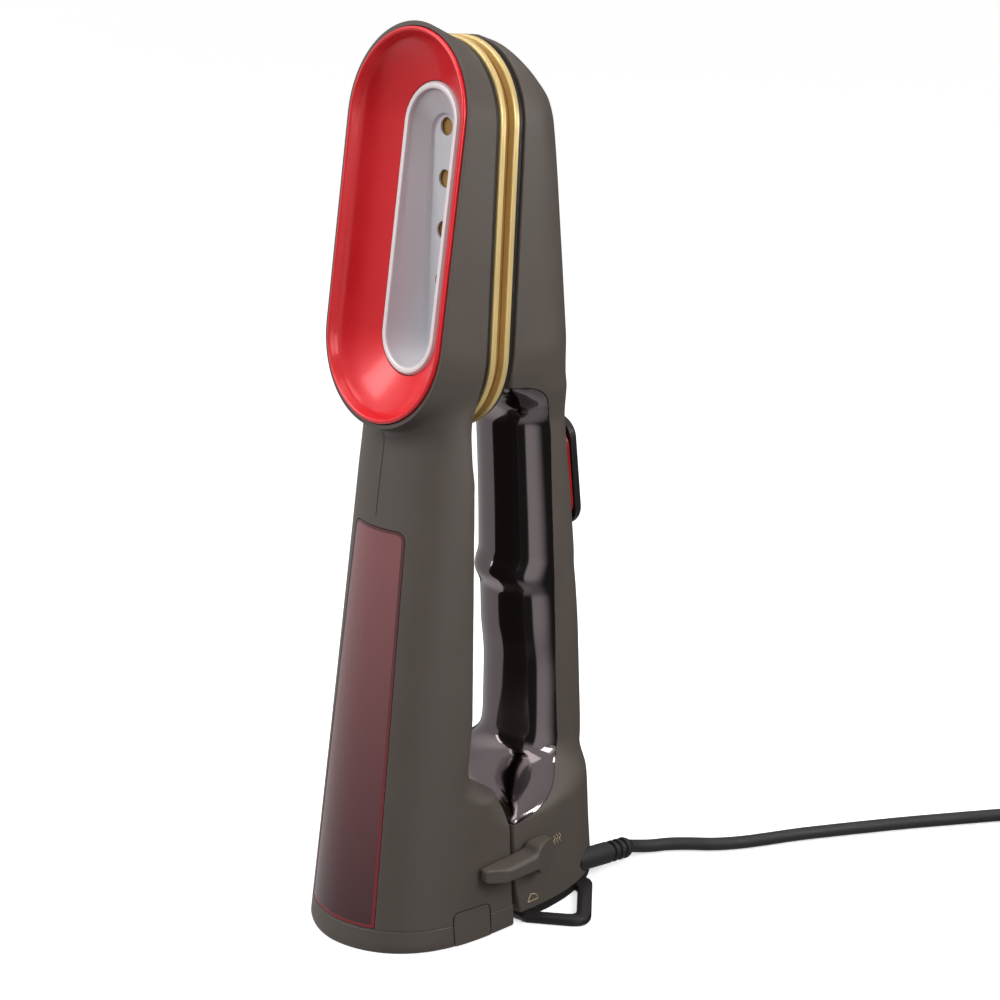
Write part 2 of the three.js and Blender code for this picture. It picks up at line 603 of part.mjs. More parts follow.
const pumpMiddle = (PUMP.top + PUMP.bottom) / 2;
add(steamHalf, 'pump', rod('z', PUMP.radius, PUMP.top - PUMP.bottom, PUMP.x, PUMP.y, pumpMiddle, 20), blackPlastic);
const suctionFrom = TANK.backY + (TANK.portZ - 16) * TANK.backSlope + GAP;
const suctionTo = PUMP.y - PUMP.radius - GAP;
add(steamHalf, 'suction_tube', rod(
  'y', 1.8, suctionTo - suctionFrom, PUMP.x, (suctionFrom + suctionTo) / 2, TANK.portZ, 12,
), silicone);
const waterLine = pipe([
  [PUMP.x, PUMP.y, PUMP.top + GAP], [PUMP.x, PUMP.y, 50], [-6, -21.5, 66], [-4, -21, 90], [-4, -17.6, 140],
  [-4, -15.6, 175], [-3, -14.5, 190], [0, -14, 198], [0, -14, 202.4],
], 1.6, 8, 24);
add(steamHalf, 'water_line', waterLine, silicone);

// ---- steam half: face dish, steam nozzle and boiler

const DISH_EDGE = { halfWidth: LIP.halfWidth - 0.15, halfLength: LIP.halfLength - 0.15 };
const DISH_MID = { halfWidth: 26, halfLength: 64 };

/** The concave red dish: a ring whose section runs in from the lip to the slot and back underneath. */
function faceDish() {
  const at = (base, inset, n) => [base.halfWidth - inset, base.halfLength - inset, n];
  return ovalSweep(FACE, [
    at(DISH_EDGE, 1.8, 3.6), at(DISH_EDGE, 0, 2.4), at(DISH_EDGE, 0, -LIP.proud * 0.6), at(DISH_EDGE, 0.6, -LIP.proud),
    at(DISH_EDGE, 1.4, -LIP.proud * 0.6), at(DISH_EDGE, 2.5, 1.5), at(DISH_MID, 0, 5.2), at(SLOT, -4.6, 9.4),
    at(SLOT, -0.3, SLOT.depth), at(SLOT, -0.3, SLOT.depth + 1.4), at(SLOT, -4.6, 11.2), at(DISH_MID, 0, 7.2),
  ]);
}
add(steamHalf, 'face_dish', faceDish(), redMetallic);

const floorHalfLength = SLOT.halfLength - (SLOT.halfWidth - SLOT.floorHalfWidth) - 1;

/** The nozzle: a bevelled rim at the slot and a trough down to a floor with a row of steam holes. */
function steamNozzle() {
  const mouth = (inset, n) => ovalRing(FACE, SLOT.halfWidth - inset, SLOT.halfLength - inset, n);
  const floor = (grow, n) => ovalRing(PRESS, SLOT.floorHalfWidth + grow, floorHalfLength + grow, n);
  const outer = solid(loft([
    mouth(0, SLOT.depth), mouth(0, SLOT.depth + 1.6), mouth(1.4, SLOT.depth + 2), floor(1, NOZZLE_FLOOR_N),
  ]));
  const inner = solid(loft([
    mouth(-3, SLOT.depth - 5), mouth(SLOT.rim - 0.4, SLOT.depth + 0.5), floor(0, NOZZLE_FLOOR_N - 0.9),
  ]));
  const holes = Array.from({ length: STEAM_HOLES.count }, (_, i) => {
    const along = (i - (STEAM_HOLES.count - 1) / 2) * STEAM_HOLES.pitch + STEAM_HOLES.shift;
    const at = leaning(PRESS, 0, along, NOZZLE_FLOOR_N);
    return solid(rod('y', STEAM_HOLES.radius, 4, at.x, at.y, at.z, 14));
  });
  return cut(outer, inner, ...holes);
}
add(steamHalf, 'steam_nozzle', steamNozzle(), silver);

const BOILER = {
  halfWidth: 25.5, halfLength: 62, wall: 8.8, back: -7.6, frontDepth: SLOT.depth + 2.4, top: 297,
};
const HEATER = { halfWidth: 22.6, halfLength: 59, width: 3.4, depth: 3 };

/** The cast boiler: a U around the trough, open at the top where the head is too thin for it. */
function boilerBody() {
  const ring = solid(ovalPlate(PRESS, BOILER.halfWidth, BOILER.halfLength, -26, BOILER.back, BOILER.wall, 10));
  const behindDish = solid(ovalPlate(FACE, 60, 110, BOILER.frontDepth, 60));
  const groove = solid(ovalPlate(
    PRESS, HEATER.halfWidth + GAP, HEATER.halfLength + GAP, BOILER.back - HEATER.depth - GAP, 0,
    HEATER.width + 2 * GAP, 10,
  ));
  return cut(ring.intersect(behindDish), groove, solid(block(-50, -50, BOILER.top, 50, 50, 400)));
}
add(steamHalf, 'boiler', boilerBody(), aluminium);
const heaterRing = solid(ovalPlate(
  PRESS, HEATER.halfWidth, HEATER.halfLength, BOILER.back - HEATER.depth, BOILER.back, HEATER.width, 10,
));
const heaterOpening = solid(block(-50, -50, BOILER.top - 30, 50, 50, 400));
add(steamHalf, 'boiler_heater', heaterRing.subtract(heaterOpening), copper);

// ---- both press plates with their black carriers, mirrored about the split plane

/** Adds one press plate and the black carrier that holds it to its head. */
function addPressPlate(half, prefix, side, pocket = null) {
  const [a, b] = [PRESS.halfWidth, PRESS.halfLength];
  const carrier = [[0.9, HOUSING_N - GAP], [0.9, RIM_FAR + GAP], [6, RIM_FAR + GAP], [6, HOUSING_N - GAP]];
  const carrierSection = carrier.map(([inset, n]) => [a - inset, b - inset, side * n]);
  add(half, `${prefix}_plate_carrier`, ovalSweep(PRESS, carrierSection), blackPlastic);
  const profile = [[7, RIM_FAR + 1.3], [7, RIM_FAR], [0.6, RIM_FAR], [0, RIM_FAR - 0.7], [0, RIM_NEAR + 0.6],
    [0.6, RIM_NEAR], [3, RIM_NEAR], [4.2, PAD_N]];
  const plate = solid(loft(profile.map(([inset, n]) => ovalRing(PRESS, a - inset, b - inset, side * n))));
  add(half, `${prefix}_press_plate`, pocket ? plate.subtract(pocket) : plate, gold);
}
const PAD_N = 0.3;
const pocketLevels = [[1.6, NOZZLE_FLOOR_N + 0.4], [10.5, -6], [10.5, -12]];
const nozzlePocket = solid(loft(pocketLevels.map(([grow, n]) => ovalRing(
  PRESS, SLOT.floorHalfWidth + grow * 0.6, floorHalfLength + grow, n,
))));
addPressPlate(steamHalf, 'steam', -1, nozzlePocket);
addPressPlate(handleHalf, 'handle', 1);

// ---- steam half: fill door and its seal

function fillDoor() {
  const outer = solid(loft([0.4, DOOR.top + 3].map((z) => steamRing(z, 0.05, 16))));
  const inner = solid(loft([-2, DOOR.top + 5].map((z) => steamRing(z, DOOR.wall, 16))));
  return outer.subtract(inner).intersect(doorCutter(0));
}
add(steamHalf, 'fill_door', fillDoor(), taupe);
add(steamHalf, 'door_seal', rod('x', NECK.outer, 2.6, NECK.mouthX + GAP + 1.3, NECK.y, NECK.z, 16), silicone);

// ---- handle half: rear shell and grip insert

const leverBore = solid(rod('x', 4.4, 30, 42, LEVER.y, LEVER.z));
const handleHingeOpening = solid(block(
  -HINGE_OPENING.x, -4, 2, HINGE_OPENING.x, HINGE_OPENING.front, HINGE_OPENING.top,
));
const plateOpening = solid(ovalPlate(PRESS, PRESS.halfWidth - 3.6, PRESS.halfLength - 3.6, 2, HOUSING_N + 6));
const triggerFrame = { y: TRIGGER.y, z: TRIGGER.z, tilt: -TRIGGER.lean };
const triggerBore = solid(ovalPlate(
  triggerFrame, TRIGGER.halfWidth + 1.8, TRIGGER.halfLength + 2.4, -10, 6, 0, 10,
));

/** The inner end and the outer end of the strain relief, on its axis. */
const reliefSlope = (RELIEF.endZ - RELIEF.z) / (RELIEF.endY - RELIEF.wallY);
const reliefAt = (y) => new THREE.Vector3(RELIEF.x, y, RELIEF.z + (y - RELIEF.wallY) * reliefSlope);
const RELIEF_INNER_Y = RELIEF.wallY - 8;
const reliefBore = solid(pipe([-14, 10].map((dy) => reliefAt(RELIEF.wallY + dy).toArray()), 4.75, 16, 1));

function rearShell() {
  const top = HANDLE_STATIONS[HANDLE_STATIONS.length - 1].z;
  const outer = handleBody(BASE_PLATE_H + 0.2, top);
  const inner = handleBody(BASE_PLATE_H - 2, top - 3, WALL, 18);
  return cut(outer, inner, gripRegion(0.15), plateOpening, handleHingeOpening, leverBore, triggerBore, reliefBore);
}
add(handleHalf, 'rear_shell', rearShell(), taupe);

const gripShell = handleBody(30, 222, 0.1)
  .subtract(handleBody(28, 226, WALL - 0.2, 18))
  .intersect(gripRegion(-0.15));
add(handleHalf, 'grip_insert', cut(gripShell, handleHingeOpening, plateOpening), blackChrome);

// ---- handle half: base plate with the hanging loop

function basePlate() {
  const flat = (shape, height) => solid(new THREE.ExtrudeGeometry(shape, {
    depth: height, bevelEnabled: false, curveSegments: 12,
  }));
  // a tab that leans out from both its roots to a rounded tip
  const loopShape = (inset) => {
    const [front, back, tip] = [LOOP.frontY + inset, LOOP.backY - 1.41 * inset, LOOP.reachX - inset];
    const frontSlope = front + (tip - BASE_HALF_WIDTH) * 0.75;
    const backSlope = back - (tip - BASE_HALF_WIDTH);
    const shape = new THREE.Shape();
    shape.moveTo(LOOP.rootX, front);
    shape.lineTo(BASE_HALF_WIDTH + LOOP.shoulder * 0.5, front);
    shape.lineTo(tip - 4, frontSlope - 3);
    shape.bezierCurveTo(tip + 1, frontSlope + 0.75, tip + 1, backSlope - 1, tip - 3, backSlope + 3);
    shape.lineTo(BASE_HALF_WIDTH - LOOP.shoulder, back + LOOP.shoulder);
    shape.lineTo(LOOP.rootX, back + LOOP.shoulder);
    return shape;
  };
  const column = (inset, z0, z1) => solid(loft([0, 1].map((end) => handleRing(4, inset, 28)
    .map((point) => new THREE.Vector3(point.x, point.y, end ? z1 : z0)))));
  const body = solid(loft([0, BASE_PLATE_H].map((z) => handleRing(z, 0.3, 28))));
  const tongue = solid(block(-12, -6, 0, 12, 8, BASE_PLATE_H));
  const loop = flat(loopShape(0), LOOP.height).subtract(column(-0.5, BASE_PLATE_H, 12));
  const hole = flat(loopShape(LOOP.band), 20).translate([0, 0, -5]).subtract(column(1.2, -10, 20));
  return cut(body.add(tongue).add(loop), hole, reliefBore, ...underPockets(FOOT.handleY, SCREW.handleY));
}
add(handleHalf, 'base_plate', basePlate(), blackPlastic);
addUnderParts(handleHalf, 'handle', FOOT.handleY, SCREW.handleY, 3.2);

// ---- the hinge: pin and handle bracket on the handle half, the other bracket on the steam half

const EAR = { half: 4.4, thick: 4, reach: 3.6, bore: HINGE.radius + 0.3 };

/** Two bored ears on a cross bar; direction is the way from the bar to the ears' tips. */
function hingeBracket(earX, barFrom, barTo, direction) {
  const bar = solid(block(-26.5, Math.min(barFrom, barTo), 12, 26.5, Math.max(barFrom, barTo), 32));
  const [low, high] = [Math.min(barTo, direction * EAR.reach), Math.max(barTo, direction * EAR.reach)];
  const ears = [-1, 1].map((side) => solid(block(
    side * earX - EAR.thick / 2, low, HINGE.z - EAR.half, side * earX + EAR.thick / 2, high, HINGE.z + EAR.half,
  )));
  const bore = solid(rod('x', EAR.bore, 80, 0, HINGE.y, HINGE.z, 16));
  return ears.reduce((sum, ear) => sum.add(ear), bar).subtract(bore);
}
add(steamHalf, 'steam_hinge_bracket', hingeBracket(15, -12.2, -9.2, 1), steel);
add(handleHalf, 'handle_hinge_bracket', hingeBracket(21, 7.4, 5, -1), steel);
add(handleHalf, 'hinge_pin', rod('x', HINGE.radius, 2 * HINGE.halfLength, 0, HINGE.y, HINGE.z, 16), steel);

// ---- the trigger: a red core under a black pad, with its spring and switch

const PAD = { halfWidth: TRIGGER.halfWidth + 1.3, halfLength: TRIGGER.halfLength + 1.9, under: 2.4 };

function triggerPad() {
  const rings = [[0, -2], [0, TRIGGER.capProud - 2.2], [0.9, TRIGGER.capProud - 0.8], [3, TRIGGER.capProud]];
  const whole = solid(loft(rings.map(([inset, n]) => ovalRing(
    triggerFrame, PAD.halfWidth - inset, PAD.halfLength - inset, n, 10,
  ))));
  const lipStart = TRIGGER.halfLength - 1;
  const corner = (u, n) => leaning(triggerFrame, 0, u, n);
  const side = [[-lipStart, -6], [-lipStart, PAD.under], [lipStart, PAD.under], [lipStart, -6]];
  const under = solid(sideCutter(side.map(([u, n]) => [corner(u, n).y, corner(u, n).z])));
  return whole.subtract(under);
}
const springPocket = solid(ovalPlate(shifted(triggerFrame, 11), 3.6, 3.7, -8, 0.5, 0, 6));
const coreLong = TRIGGER.halfLength - 1 - GAP;
const triggerCore = solid(ovalPlate(triggerFrame, TRIGGER.halfWidth + 0.9, coreLong, -5, PAD.under - GAP, 0, 10));
add(handleHalf, 'trigger_core', triggerCore.subtract(springPocket), redPlastic);
add(handleHalf, 'trigger_pad', triggerPad(), blackPlastic);
add(handleHalf, 'trigger_spring', ovalPlate(shifted(triggerFrame, 11), 2.8, 2.9, -12, -2.4, 0.9, 6), steel);
const switchAt = leaning(triggerFrame, 0, -4, -13);
add(handleHalf, 'microswitch', block(
  -3.2, switchAt.y - 3.4, switchAt.z - 10, 3.2, switchAt.y + 3.4, switchAt.z + 10,
), blackPlastic);

// ---- handle half: heating and control inside the head

add(handleHalf, 'plate_heater', ovalPlate(PRESS, 20, 58, HOUSING_N - 0.6, HOUSING_N + 1.8, 3.6, 10), copper);
const thermostatAt = leaning(PRESS, 0, 18, HOUSING_N + 1.2);
add(handleHalf, 'thermostat', rod('y', 6.4, 3.6, thermostatAt.x, thermostatAt.y, thermostatAt.z, 20), aluminium);
const fuseAt = leaning(PRESS, 0, -16, HOUSING_N + 1.2);
add(handleHalf, 'thermal_fuse', rod('z', 1.6, 11, fuseAt.x, fuseAt.y, fuseAt.z, 12), silver);
add(handleHalf, 'control_board', block(-15, 27, 224, 15, 28.6, 276), circuitGreen);

// ---- the mode lever, with the retainer on its hub inside the shell

/** A bar beside the body: an oblique nose, and a round hub whose outer face falls away to the body. */
function lever() {
  const shape = new THREE.Shape();
  shape.moveTo(LEVER.noseY, LEVER.bottom);
  shape.absarc(LEVER.y, LEVER.z, LEVER.hubRadius, radians(210), radians(500));
  shape.lineTo(LEVER.noseY, LEVER.top);
  const outline = shape.getPoints(14).map((p) => [p.x, p.y]);
  const bar = solid(sideCutter(outline, (LEVER.outer - LEVER.inner) / 2)
    .translate((LEVER.outer + LEVER.inner) / 2, 0, 0));
  const plan = new THREE.Shape([
    [LEVER.inner - 1, LEVER.noseY - 0.8], [LEVER.outer - 0.8, LEVER.noseY + 6], [LEVER.outer, LEVER.noseY + 7.5],
    [LEVER.outer - 0.2, LEVER.y - 14], [LEVER.outer - 2.4, LEVER.y - 5], [LEVER.inner + 1.2, LEVER.y + 5.2],
    [LEVER.inner + 0.6, LEVER.y + 8], [LEVER.inner - 1, LEVER.y + 8],
  ].map(([x, y]) => new THREE.Vector2(x, y)));
  const keep = new THREE.ExtrudeGeometry(plan, { depth: 60, bevelEnabled: false });
  const shaft = solid(rod('x', 4, 7, LEVER.inner - 2, LEVER.y, LEVER.z, 20));
  return bar.intersect(solid(keep)).add(shaft);
}
add(handleHalf, 'mode_lever', lever(), taupe);
add(handleHalf, 'lever_retainer', rod('x', 5.6, 2, LEVER.inner - 7, LEVER.y, LEVER.z, 16), steel);

// ---- the cord: clamp, strain relief, the lead on the floor, its coil, its tail and its plug

function strainRelief() {
  const from = reliefAt(RELIEF_INNER_Y);
  const axis = reliefAt(RELIEF.endY).sub(from);
  const length = axis.length();
  const grooves = [length - 9.4, length - 4.6];
  const profile = [[0, 0], [4.2, 0], [4.4, length - 11]];
  for (const start of grooves) profile.push([4.4, start - 0.6], [3.5, start], [3.5, start + 1], [4.3, start + 1.6]);
  profile.push([4, length - 0.6], [3.3, length], [0, length]);
  const geometry = new THREE.LatheGeometry(profile.map(([r, y]) => new THREE.Vector2(r, y)), 14);
  const turn = new THREE.Quaternion().setFromUnitVectors(new THREE.Vector3(0, 1, 0), axis.normalize());
  geometry.applyQuaternion(turn);
  return solid(geometry.translate(from.x, from.y, from.z));
}
add(handleHalf, 'strain_relief', strainRelief(), rubber);
const CLAMP = { x0: 21.5, x1: 31, y0: RELIEF_INNER_Y - 9, y1: RELIEF_INNER_Y - 3, top: 13 };
const clampBody = solid(block(CLAMP.x0, CLAMP.y0, BASE_PLATE_H + GAP, CLAMP.x1, CLAMP.y1, CLAMP.top));
const clampBore = solid(rod('y', CORD_RADIUS, 20, (CLAMP.x0 + CLAMP.x1) / 2, CLAMP.y0, RELIEF.z + 1, 12));
add(handleHalf, 'cord_clamp', clampBody.subtract(clampBore), blackPlastic);

const cordPoints = [
  [28.5, RELIEF.endY + 0.7, RELIEF.endZ], [28.9, 77, 4.4], [30.6, 83.5, 3], [34.4, 91, CORD_RADIUS + 0.05],
  [40, 97.8, CORD_RADIUS + 0.05], [46.5, 104.5, CORD_RADIUS + 0.05], [52.8, 113.7, CORD_RADIUS + 0.05],
  [58.1, 124.4, CORD_RADIUS + 0.05], [63.3, 136, CORD_RADIUS + 0.05], [70.8, 150.5, CORD_RADIUS + 0.05],
  [79, 165.5, CORD_RADIUS + 0.05], [88, 181.5, CORD_RADIUS + 0.05], [98.5, 199, CORD_RADIUS + 0.05],
  [109.5, 217, CORD_RADIUS + 0.05], [118.6, 232, CORD_RADIUS + 0.05],
];
add(handleHalf, 'power_cord', pipe(cordPoints, CORD_RADIUS, 8, 15), rubber);

const coilInner = COIL.innerTurn - COIL.pitch / 2;
const coilOuter = COIL.innerTurn + (COIL.columns - 0.5) * COIL.pitch;
const coilHeight = COIL.layers * COIL.pitch;
add(handleHalf, 'cord_coil', tube(coilInner, coilOuter, coilHeight, 24).translate(COIL.x, COIL.y, 0), rubber);

const TAIL = { radius: 24.5, fromAngle: 220, toAngle: 110, points: 8 };
const tailPoints = Array.from({ length: TAIL.points }, (_, i) => {
  const t = i / (TAIL.points - 1);
  const angle = radians(THREE.MathUtils.lerp(TAIL.fromAngle, TAIL.toAngle, t));
  const rise = (PLUG.height / 2 - CORD_RADIUS) * t * t * (3 - 2 * t);
  const z = coilHeight + GAP + CORD_RADIUS + rise;
  return [COIL.x + TAIL.radius * Math.cos(angle), COIL.y + TAIL.radius * Math.sin(angle), z];
});
add(handleHalf, 'cord_tail', pipe(tailPoints, CORD_RADIUS, 8, 8), rubber);

const plugEnd = new THREE.Vector3(...tailPoints[TAIL.points - 1]);

/** Places a piece drawn along +Y so that it goes on from the cord's end, on top of the coil. */
function onPlug(geometry) {
  return geometry.rotateZ(radians(TAIL.toAngle - 180)).translate(plugEnd.x, plugEnd.y, plugEnd.z);
}

function plugBody() {
  const section = (half, tall, y) => stadium(tall / 2, half, 6).map(([z, x]) => new THREE.Vector3(x, y, z));
  return loft([
    section(4.2, 7, 2 * GAP), section(4.4, 7.4, 9), section(PLUG.width / 2 - 1, PLUG.height - 1.5, 15),
    section(PLUG.width / 2, PLUG.height, 19), section(PLUG.width / 2, PLUG.height, PLUG.length),
  ]);
}
add(handleHalf, 'power_plug', onPlug(plugBody()), rubber);
for (const [hand, side] of [['left', -1], ['right', 1]]) {
  const x = side * PLUG.bladePitch / 2;
  const y = PLUG.length + GAP;
  add(handleHalf, `plug_blade_${hand}`, onPlug(block(
    x - PLUG.bladeThick / 2, y, -PLUG.bladeWidth / 2, x + PLUG.bladeThick / 2, y + PLUG.bladeLength, PLUG.bladeWidth / 2,
  )), steel);
}

export default group;
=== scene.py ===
import json
import math

import bpy
import numpy as np
from mathutils import Matrix, Vector


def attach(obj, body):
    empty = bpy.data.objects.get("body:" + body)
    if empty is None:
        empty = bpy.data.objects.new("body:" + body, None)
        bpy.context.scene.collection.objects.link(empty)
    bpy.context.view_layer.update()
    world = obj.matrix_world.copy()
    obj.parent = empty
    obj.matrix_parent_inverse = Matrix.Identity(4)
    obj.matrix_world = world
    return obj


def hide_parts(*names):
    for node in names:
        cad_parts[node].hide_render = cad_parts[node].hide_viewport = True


# A two-in-one garment steamer and fabric press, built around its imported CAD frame.
# Shapes are worked out in millimetres, in the CAD's own frame, and become metres in new_mesh().

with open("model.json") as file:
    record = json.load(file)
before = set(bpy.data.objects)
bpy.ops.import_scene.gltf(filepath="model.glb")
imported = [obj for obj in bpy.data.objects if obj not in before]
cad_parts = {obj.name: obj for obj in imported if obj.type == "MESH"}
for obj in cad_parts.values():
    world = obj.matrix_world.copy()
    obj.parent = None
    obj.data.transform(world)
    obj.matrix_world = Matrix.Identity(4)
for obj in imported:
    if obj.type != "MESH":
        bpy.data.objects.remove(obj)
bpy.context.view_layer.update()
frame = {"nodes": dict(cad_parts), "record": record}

MM = 0.001


# -------- camera

CAMERA = {
    "azimuth": 48.4, "elevation": 16.79, "distance": 0.78, "target": (-0.0036, 0.0304, 0.1564), "lens": 72,
}


def make_camera():
    """A camera that looks at the target from an azimuth (0 looks along +Y) and an elevation."""
    azimuth, elevation = math.radians(CAMERA["azimuth"]), math.radians(CAMERA["elevation"])
    right = Vector((math.cos(azimuth), math.sin(azimuth), 0))
    back = Vector((math.sin(azimuth) * math.cos(elevation), -math.cos(azimuth) * math.cos(elevation),
                   math.sin(elevation)))
    up = back.cross(right)
    camera = bpy.data.objects.new("camera", bpy.data.cameras.new("camera"))
    camera.data.lens = CAMERA["lens"]
    camera.data.sensor_width = 36
    camera.data.clip_end = 50
    place = Vector(CAMERA["target"]) + CAMERA["distance"] * back
    rotation = Matrix((right, up, back)).transposed().to_4x4()
    camera.matrix_world = Matrix.Translation(place) @ rotation
    bpy.context.scene.collection.objects.link(camera)
    bpy.context.scene.camera = camera


make_camera()


# -------- mesh tools

def link(obj):
    bpy.context.scene.collection.objects.link(obj)
    return obj


def new_mesh(name, points, faces):
    """A mesh object from points in millimetres, with its faces turned outwards."""
    mesh = bpy.data.meshes.new(name)
    mesh.from_pydata((np.asarray(points, float) * MM).tolist(), [], faces)
    mesh.validate()
    obj = link(bpy.data.objects.new(name, mesh))
    co = np.empty(len(mesh.vertices) * 3)
    mesh.vertices.foreach_get("co", co)
    co = co.reshape(-1, 3)
    mesh.calc_loop_triangles()
    corners = np.array([t.vertices for t in mesh.loop_triangles])
    volume = np.einsum("ij,ij->i", co[corners[:, 0]], np.cross(co[corners[:, 1]], co[corners[:, 2]])).sum()
    if volume < 0:
        mesh.flip_normals()
    return obj


def loft(name, rings, loop=False):
    """Joins rings of equal length, capped at both ends, or closed on itself as a loop."""
    rings = np.asarray(rings, float)
    levels, count, _ = rings.shape
    here = np.arange(count)
    there = (here + 1) % count
    faces = []
    for i in range(levels if loop else levels - 1):
        a, b = i * count, ((i + 1) % levels) * count
        faces += np.stack([a + here, a + there, b + there, b + here], 1).tolist()
    if not loop:
        faces.append(list(range(count))[::-1])
        faces.append([(levels - 1) * count + j for j in range(count)])
    return new_mesh(name, rings.reshape(-1, 3), faces)


def block(name, low, high):
    """A box between two corners."""
    (x0, y0, z0), (x1, y1, z1) = low, high
    ring = lambda z: [(x0, y0, z), (x1, y0, z), (x1, y1, z), (x0, y1, z)]
    return loft(name, [ring(z0), ring(z1)])


def lathe(name, profile, origin, axis, sides=48):
    """Turns a profile of (radius, distance along the axis) about an axis through origin."""
    axis = np.asarray(axis, float) / np.linalg.norm(axis)
    helper = np.array((0, 0, 1)) if abs(axis[2]) < 0.9 else np.array((1, 0, 0))
    across = np.cross(axis, helper)
    across /= np.linalg.norm(across)
    other = np.cross(axis, across)
    turn = np.linspace(0, 2 * math.pi, sides, endpoint=False)
    circle = np.cos(turn)[:, None] * across + np.sin(turn)[:, None] * other
    rings = [np.asarray(origin) + along * axis + max(radius, 0.01) * circle for radius, along in profile]
    return loft(name, rings)


def apply_modifiers(obj):
    graph = bpy.context.evaluated_depsgraph_get()
    mesh = bpy.data.meshes.new_from_object(obj.evaluated_get(graph))
    obj.modifiers.clear()
    obj.data = mesh
    return obj


def combine(obj, others, operation="DIFFERENCE"):
    """Cuts, joins or intersects obj with the others, and removes them."""
    for other in others:
        modifier = obj.modifiers.new("combine", "BOOLEAN")
        modifier.operation = operation
        modifier.solver = "MANIFOLD"
        modifier.object = other
    apply_modifiers(obj)
    for other in others:
        bpy.data.objects.remove(other)
    return obj


def relax(obj, steps, weight):
    """Laplacian smoothing; weight(points in mm) gives each vertex's share, from 0 to 1."""
    mesh = obj.data
    co = np.empty(len(mesh.vertices) * 3)
    mesh.vertices.foreach_get("co", co)
    co = co.reshape(-1, 3)
    edges = np.empty(len(mesh.edges) * 2, int)
    mesh.edges.foreach_get("vertices", edges)
    edges = edges.reshape(-1, 2)
    degree = np.bincount(edges.ravel(), minlength=len(co))[:, None]
    share = weight(co / MM)[:, None]
    for _ in range(steps):
        total = np.zeros_like(co)
        np.add.at(total, edges[:, 0], co[edges[:, 1]])
        np.add.at(total, edges[:, 1], co[edges[:, 0]])
        co += share * (total / degree - co)
    mesh.vertices.foreach_set("co", co.ravel())
    mesh.update()
    return obj


def bore(radius, low, high, origin, axis, sides=48):
    """A round cutter from low to high along an axis through origin."""
    return lathe("cutter", [(radius, low), (radius, high)], origin, axis, sides)


def tube_curve(name, radius):
    """An empty curve that becomes a round tube."""
    curve = bpy.data.curves.new(name, "CURVE")
    curve.dimensions = "3D"
    curve.bevel_depth = radius * MM
    curve.use_fill_caps = True
    return curve


def voxels(obj, size):
    modifier = obj.modifiers.new("voxels", "REMESH")
    modifier.mode = "VOXEL"
    modifier.voxel_size = size * MM
    return apply_modifiers(obj)


def finish_piece(obj, body, slot=None, replaces=(), angle=32, material=None):
    """Shades a piece, paints it as its slot or in a material of its own, and lets it ride on its body."""
    if obj.type == "MESH":
        obj.data.shade_smooth()
        obj.data.set_sharp_from_angle(angle=math.radians(angle))
    obj.data.materials.clear()
    obj.data.materials.append(material or LOOKS[slot])
    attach(obj, body)
    if replaces:
        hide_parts(*replaces)
    return obj


def paint_where(obj, material, test):
    """Gives a second material to the faces whose centres (in mm) pass the test."""
    obj.data.materials.append(material)
    for face in obj.data.polygons:
        if test(np.array(face.center) / MM):
            face.material_index = 1


def smooth_table(stations, places):
    """Values between stations, never past them (monotone cubic)."""
    xs = np.array([s[0] for s in stations], float)
    ys = np.array([s[1] for s in stations], float)
    slopes = np.diff(ys) / np.diff(xs)
    tangents = np.concatenate([slopes[:1], np.zeros(len(xs) - 2), slopes[-1:]])
    for i in range(1, len(xs) - 1):
        if slopes[i - 1] * slopes[i] > 0:
            tangents[i] = 2 / (1 / slopes[i - 1] + 1 / slopes[i])
    x = np.clip(np.asarray(places, float), xs[0], xs[-1])
    i = np.clip(np.searchsorted(xs, x, side="right") - 1, 0, len(xs) - 2)
    span = xs[i + 1] - xs[i]
    t = (x - xs[i]) / span
    return ((2 * t**3 - 3 * t**2 + 1) * ys[i] + (t**3 - 2 * t**2 + t) * span * tangents[i]
            + (3 * t**2 - 2 * t**3) * ys[i + 1] + (t**3 - t**2) * span * tangents[i + 1])


def smoothstep(t):
    t = np.clip(t, 0, 1)
    return t * t * (3 - 2 * t)


def rounded(corners, steps=5):
    """A closed outline of (x, y, radius) corners, each one rounded by a quadratic curve."""
    points = []
    total = len(corners)
    for i, (x, y, radius) in enumerate(corners):
        here = np.array((x, y), float)
        before = np.array(corners[i - 1][:2], float) - here
        after = np.array(corners[(i + 1) % total][:2], float) - here
        if radius <= 0:
            points.append(tuple(here))
            continue
        before_length, after_length = np.linalg.norm(before), np.linalg.norm(after)
        u, v = before / before_length, after / after_length
        half = math.acos(float(np.clip(u @ v, -1, 1))) / 2
        reach = min(radius / math.tan(half), before_length * 0.49, after_length * 0.49)
        start, end = here + u * reach, here + v * reach
        for t in np.linspace(0, 1, steps + 1):
            points.append(tuple((1 - t) ** 2 * start + 2 * t * (1 - t) * here + t * t * end))
    return points


# -------- the object's dimensions

WALL = 2.4
GAP = 0.3               # between neighbouring solids
BASE_HALF_WIDTH = 39.3
BASE_TAPER = 0.0505     # lost half width for each mm of height
FRONT_DEPTH = 60.3
FRONT_LEAN = 0.1615     # lost depth for each mm of height
SIDE_POWER = 1.85
DEPTH_POWER = 3.1
SEAM_Z = 8.9            # between the steam half's base cover and its housing
BASE_PLATE_H = 4
NECK_TOP_Z = 212
SADDLE = {"side": 41.5, "middle": 54, "side_end": 70, "middle_end": 79}
PRESS = {"y": 2.35, "z": 264, "tilt": 3.4, "half_width": 31, "half_length": 71.3}
FACE = {"y": -22.9, "z": 268.9, "tilt": 9.04, "half_width": 33.8, "half_length": 72.4}
LIP = {"half_width": 32.1, "half_length": 70.6}
SLOT = {"half_width": 15.2, "half_length": 52.8, "depth": 11.8, "floor_half_width": 6.4}
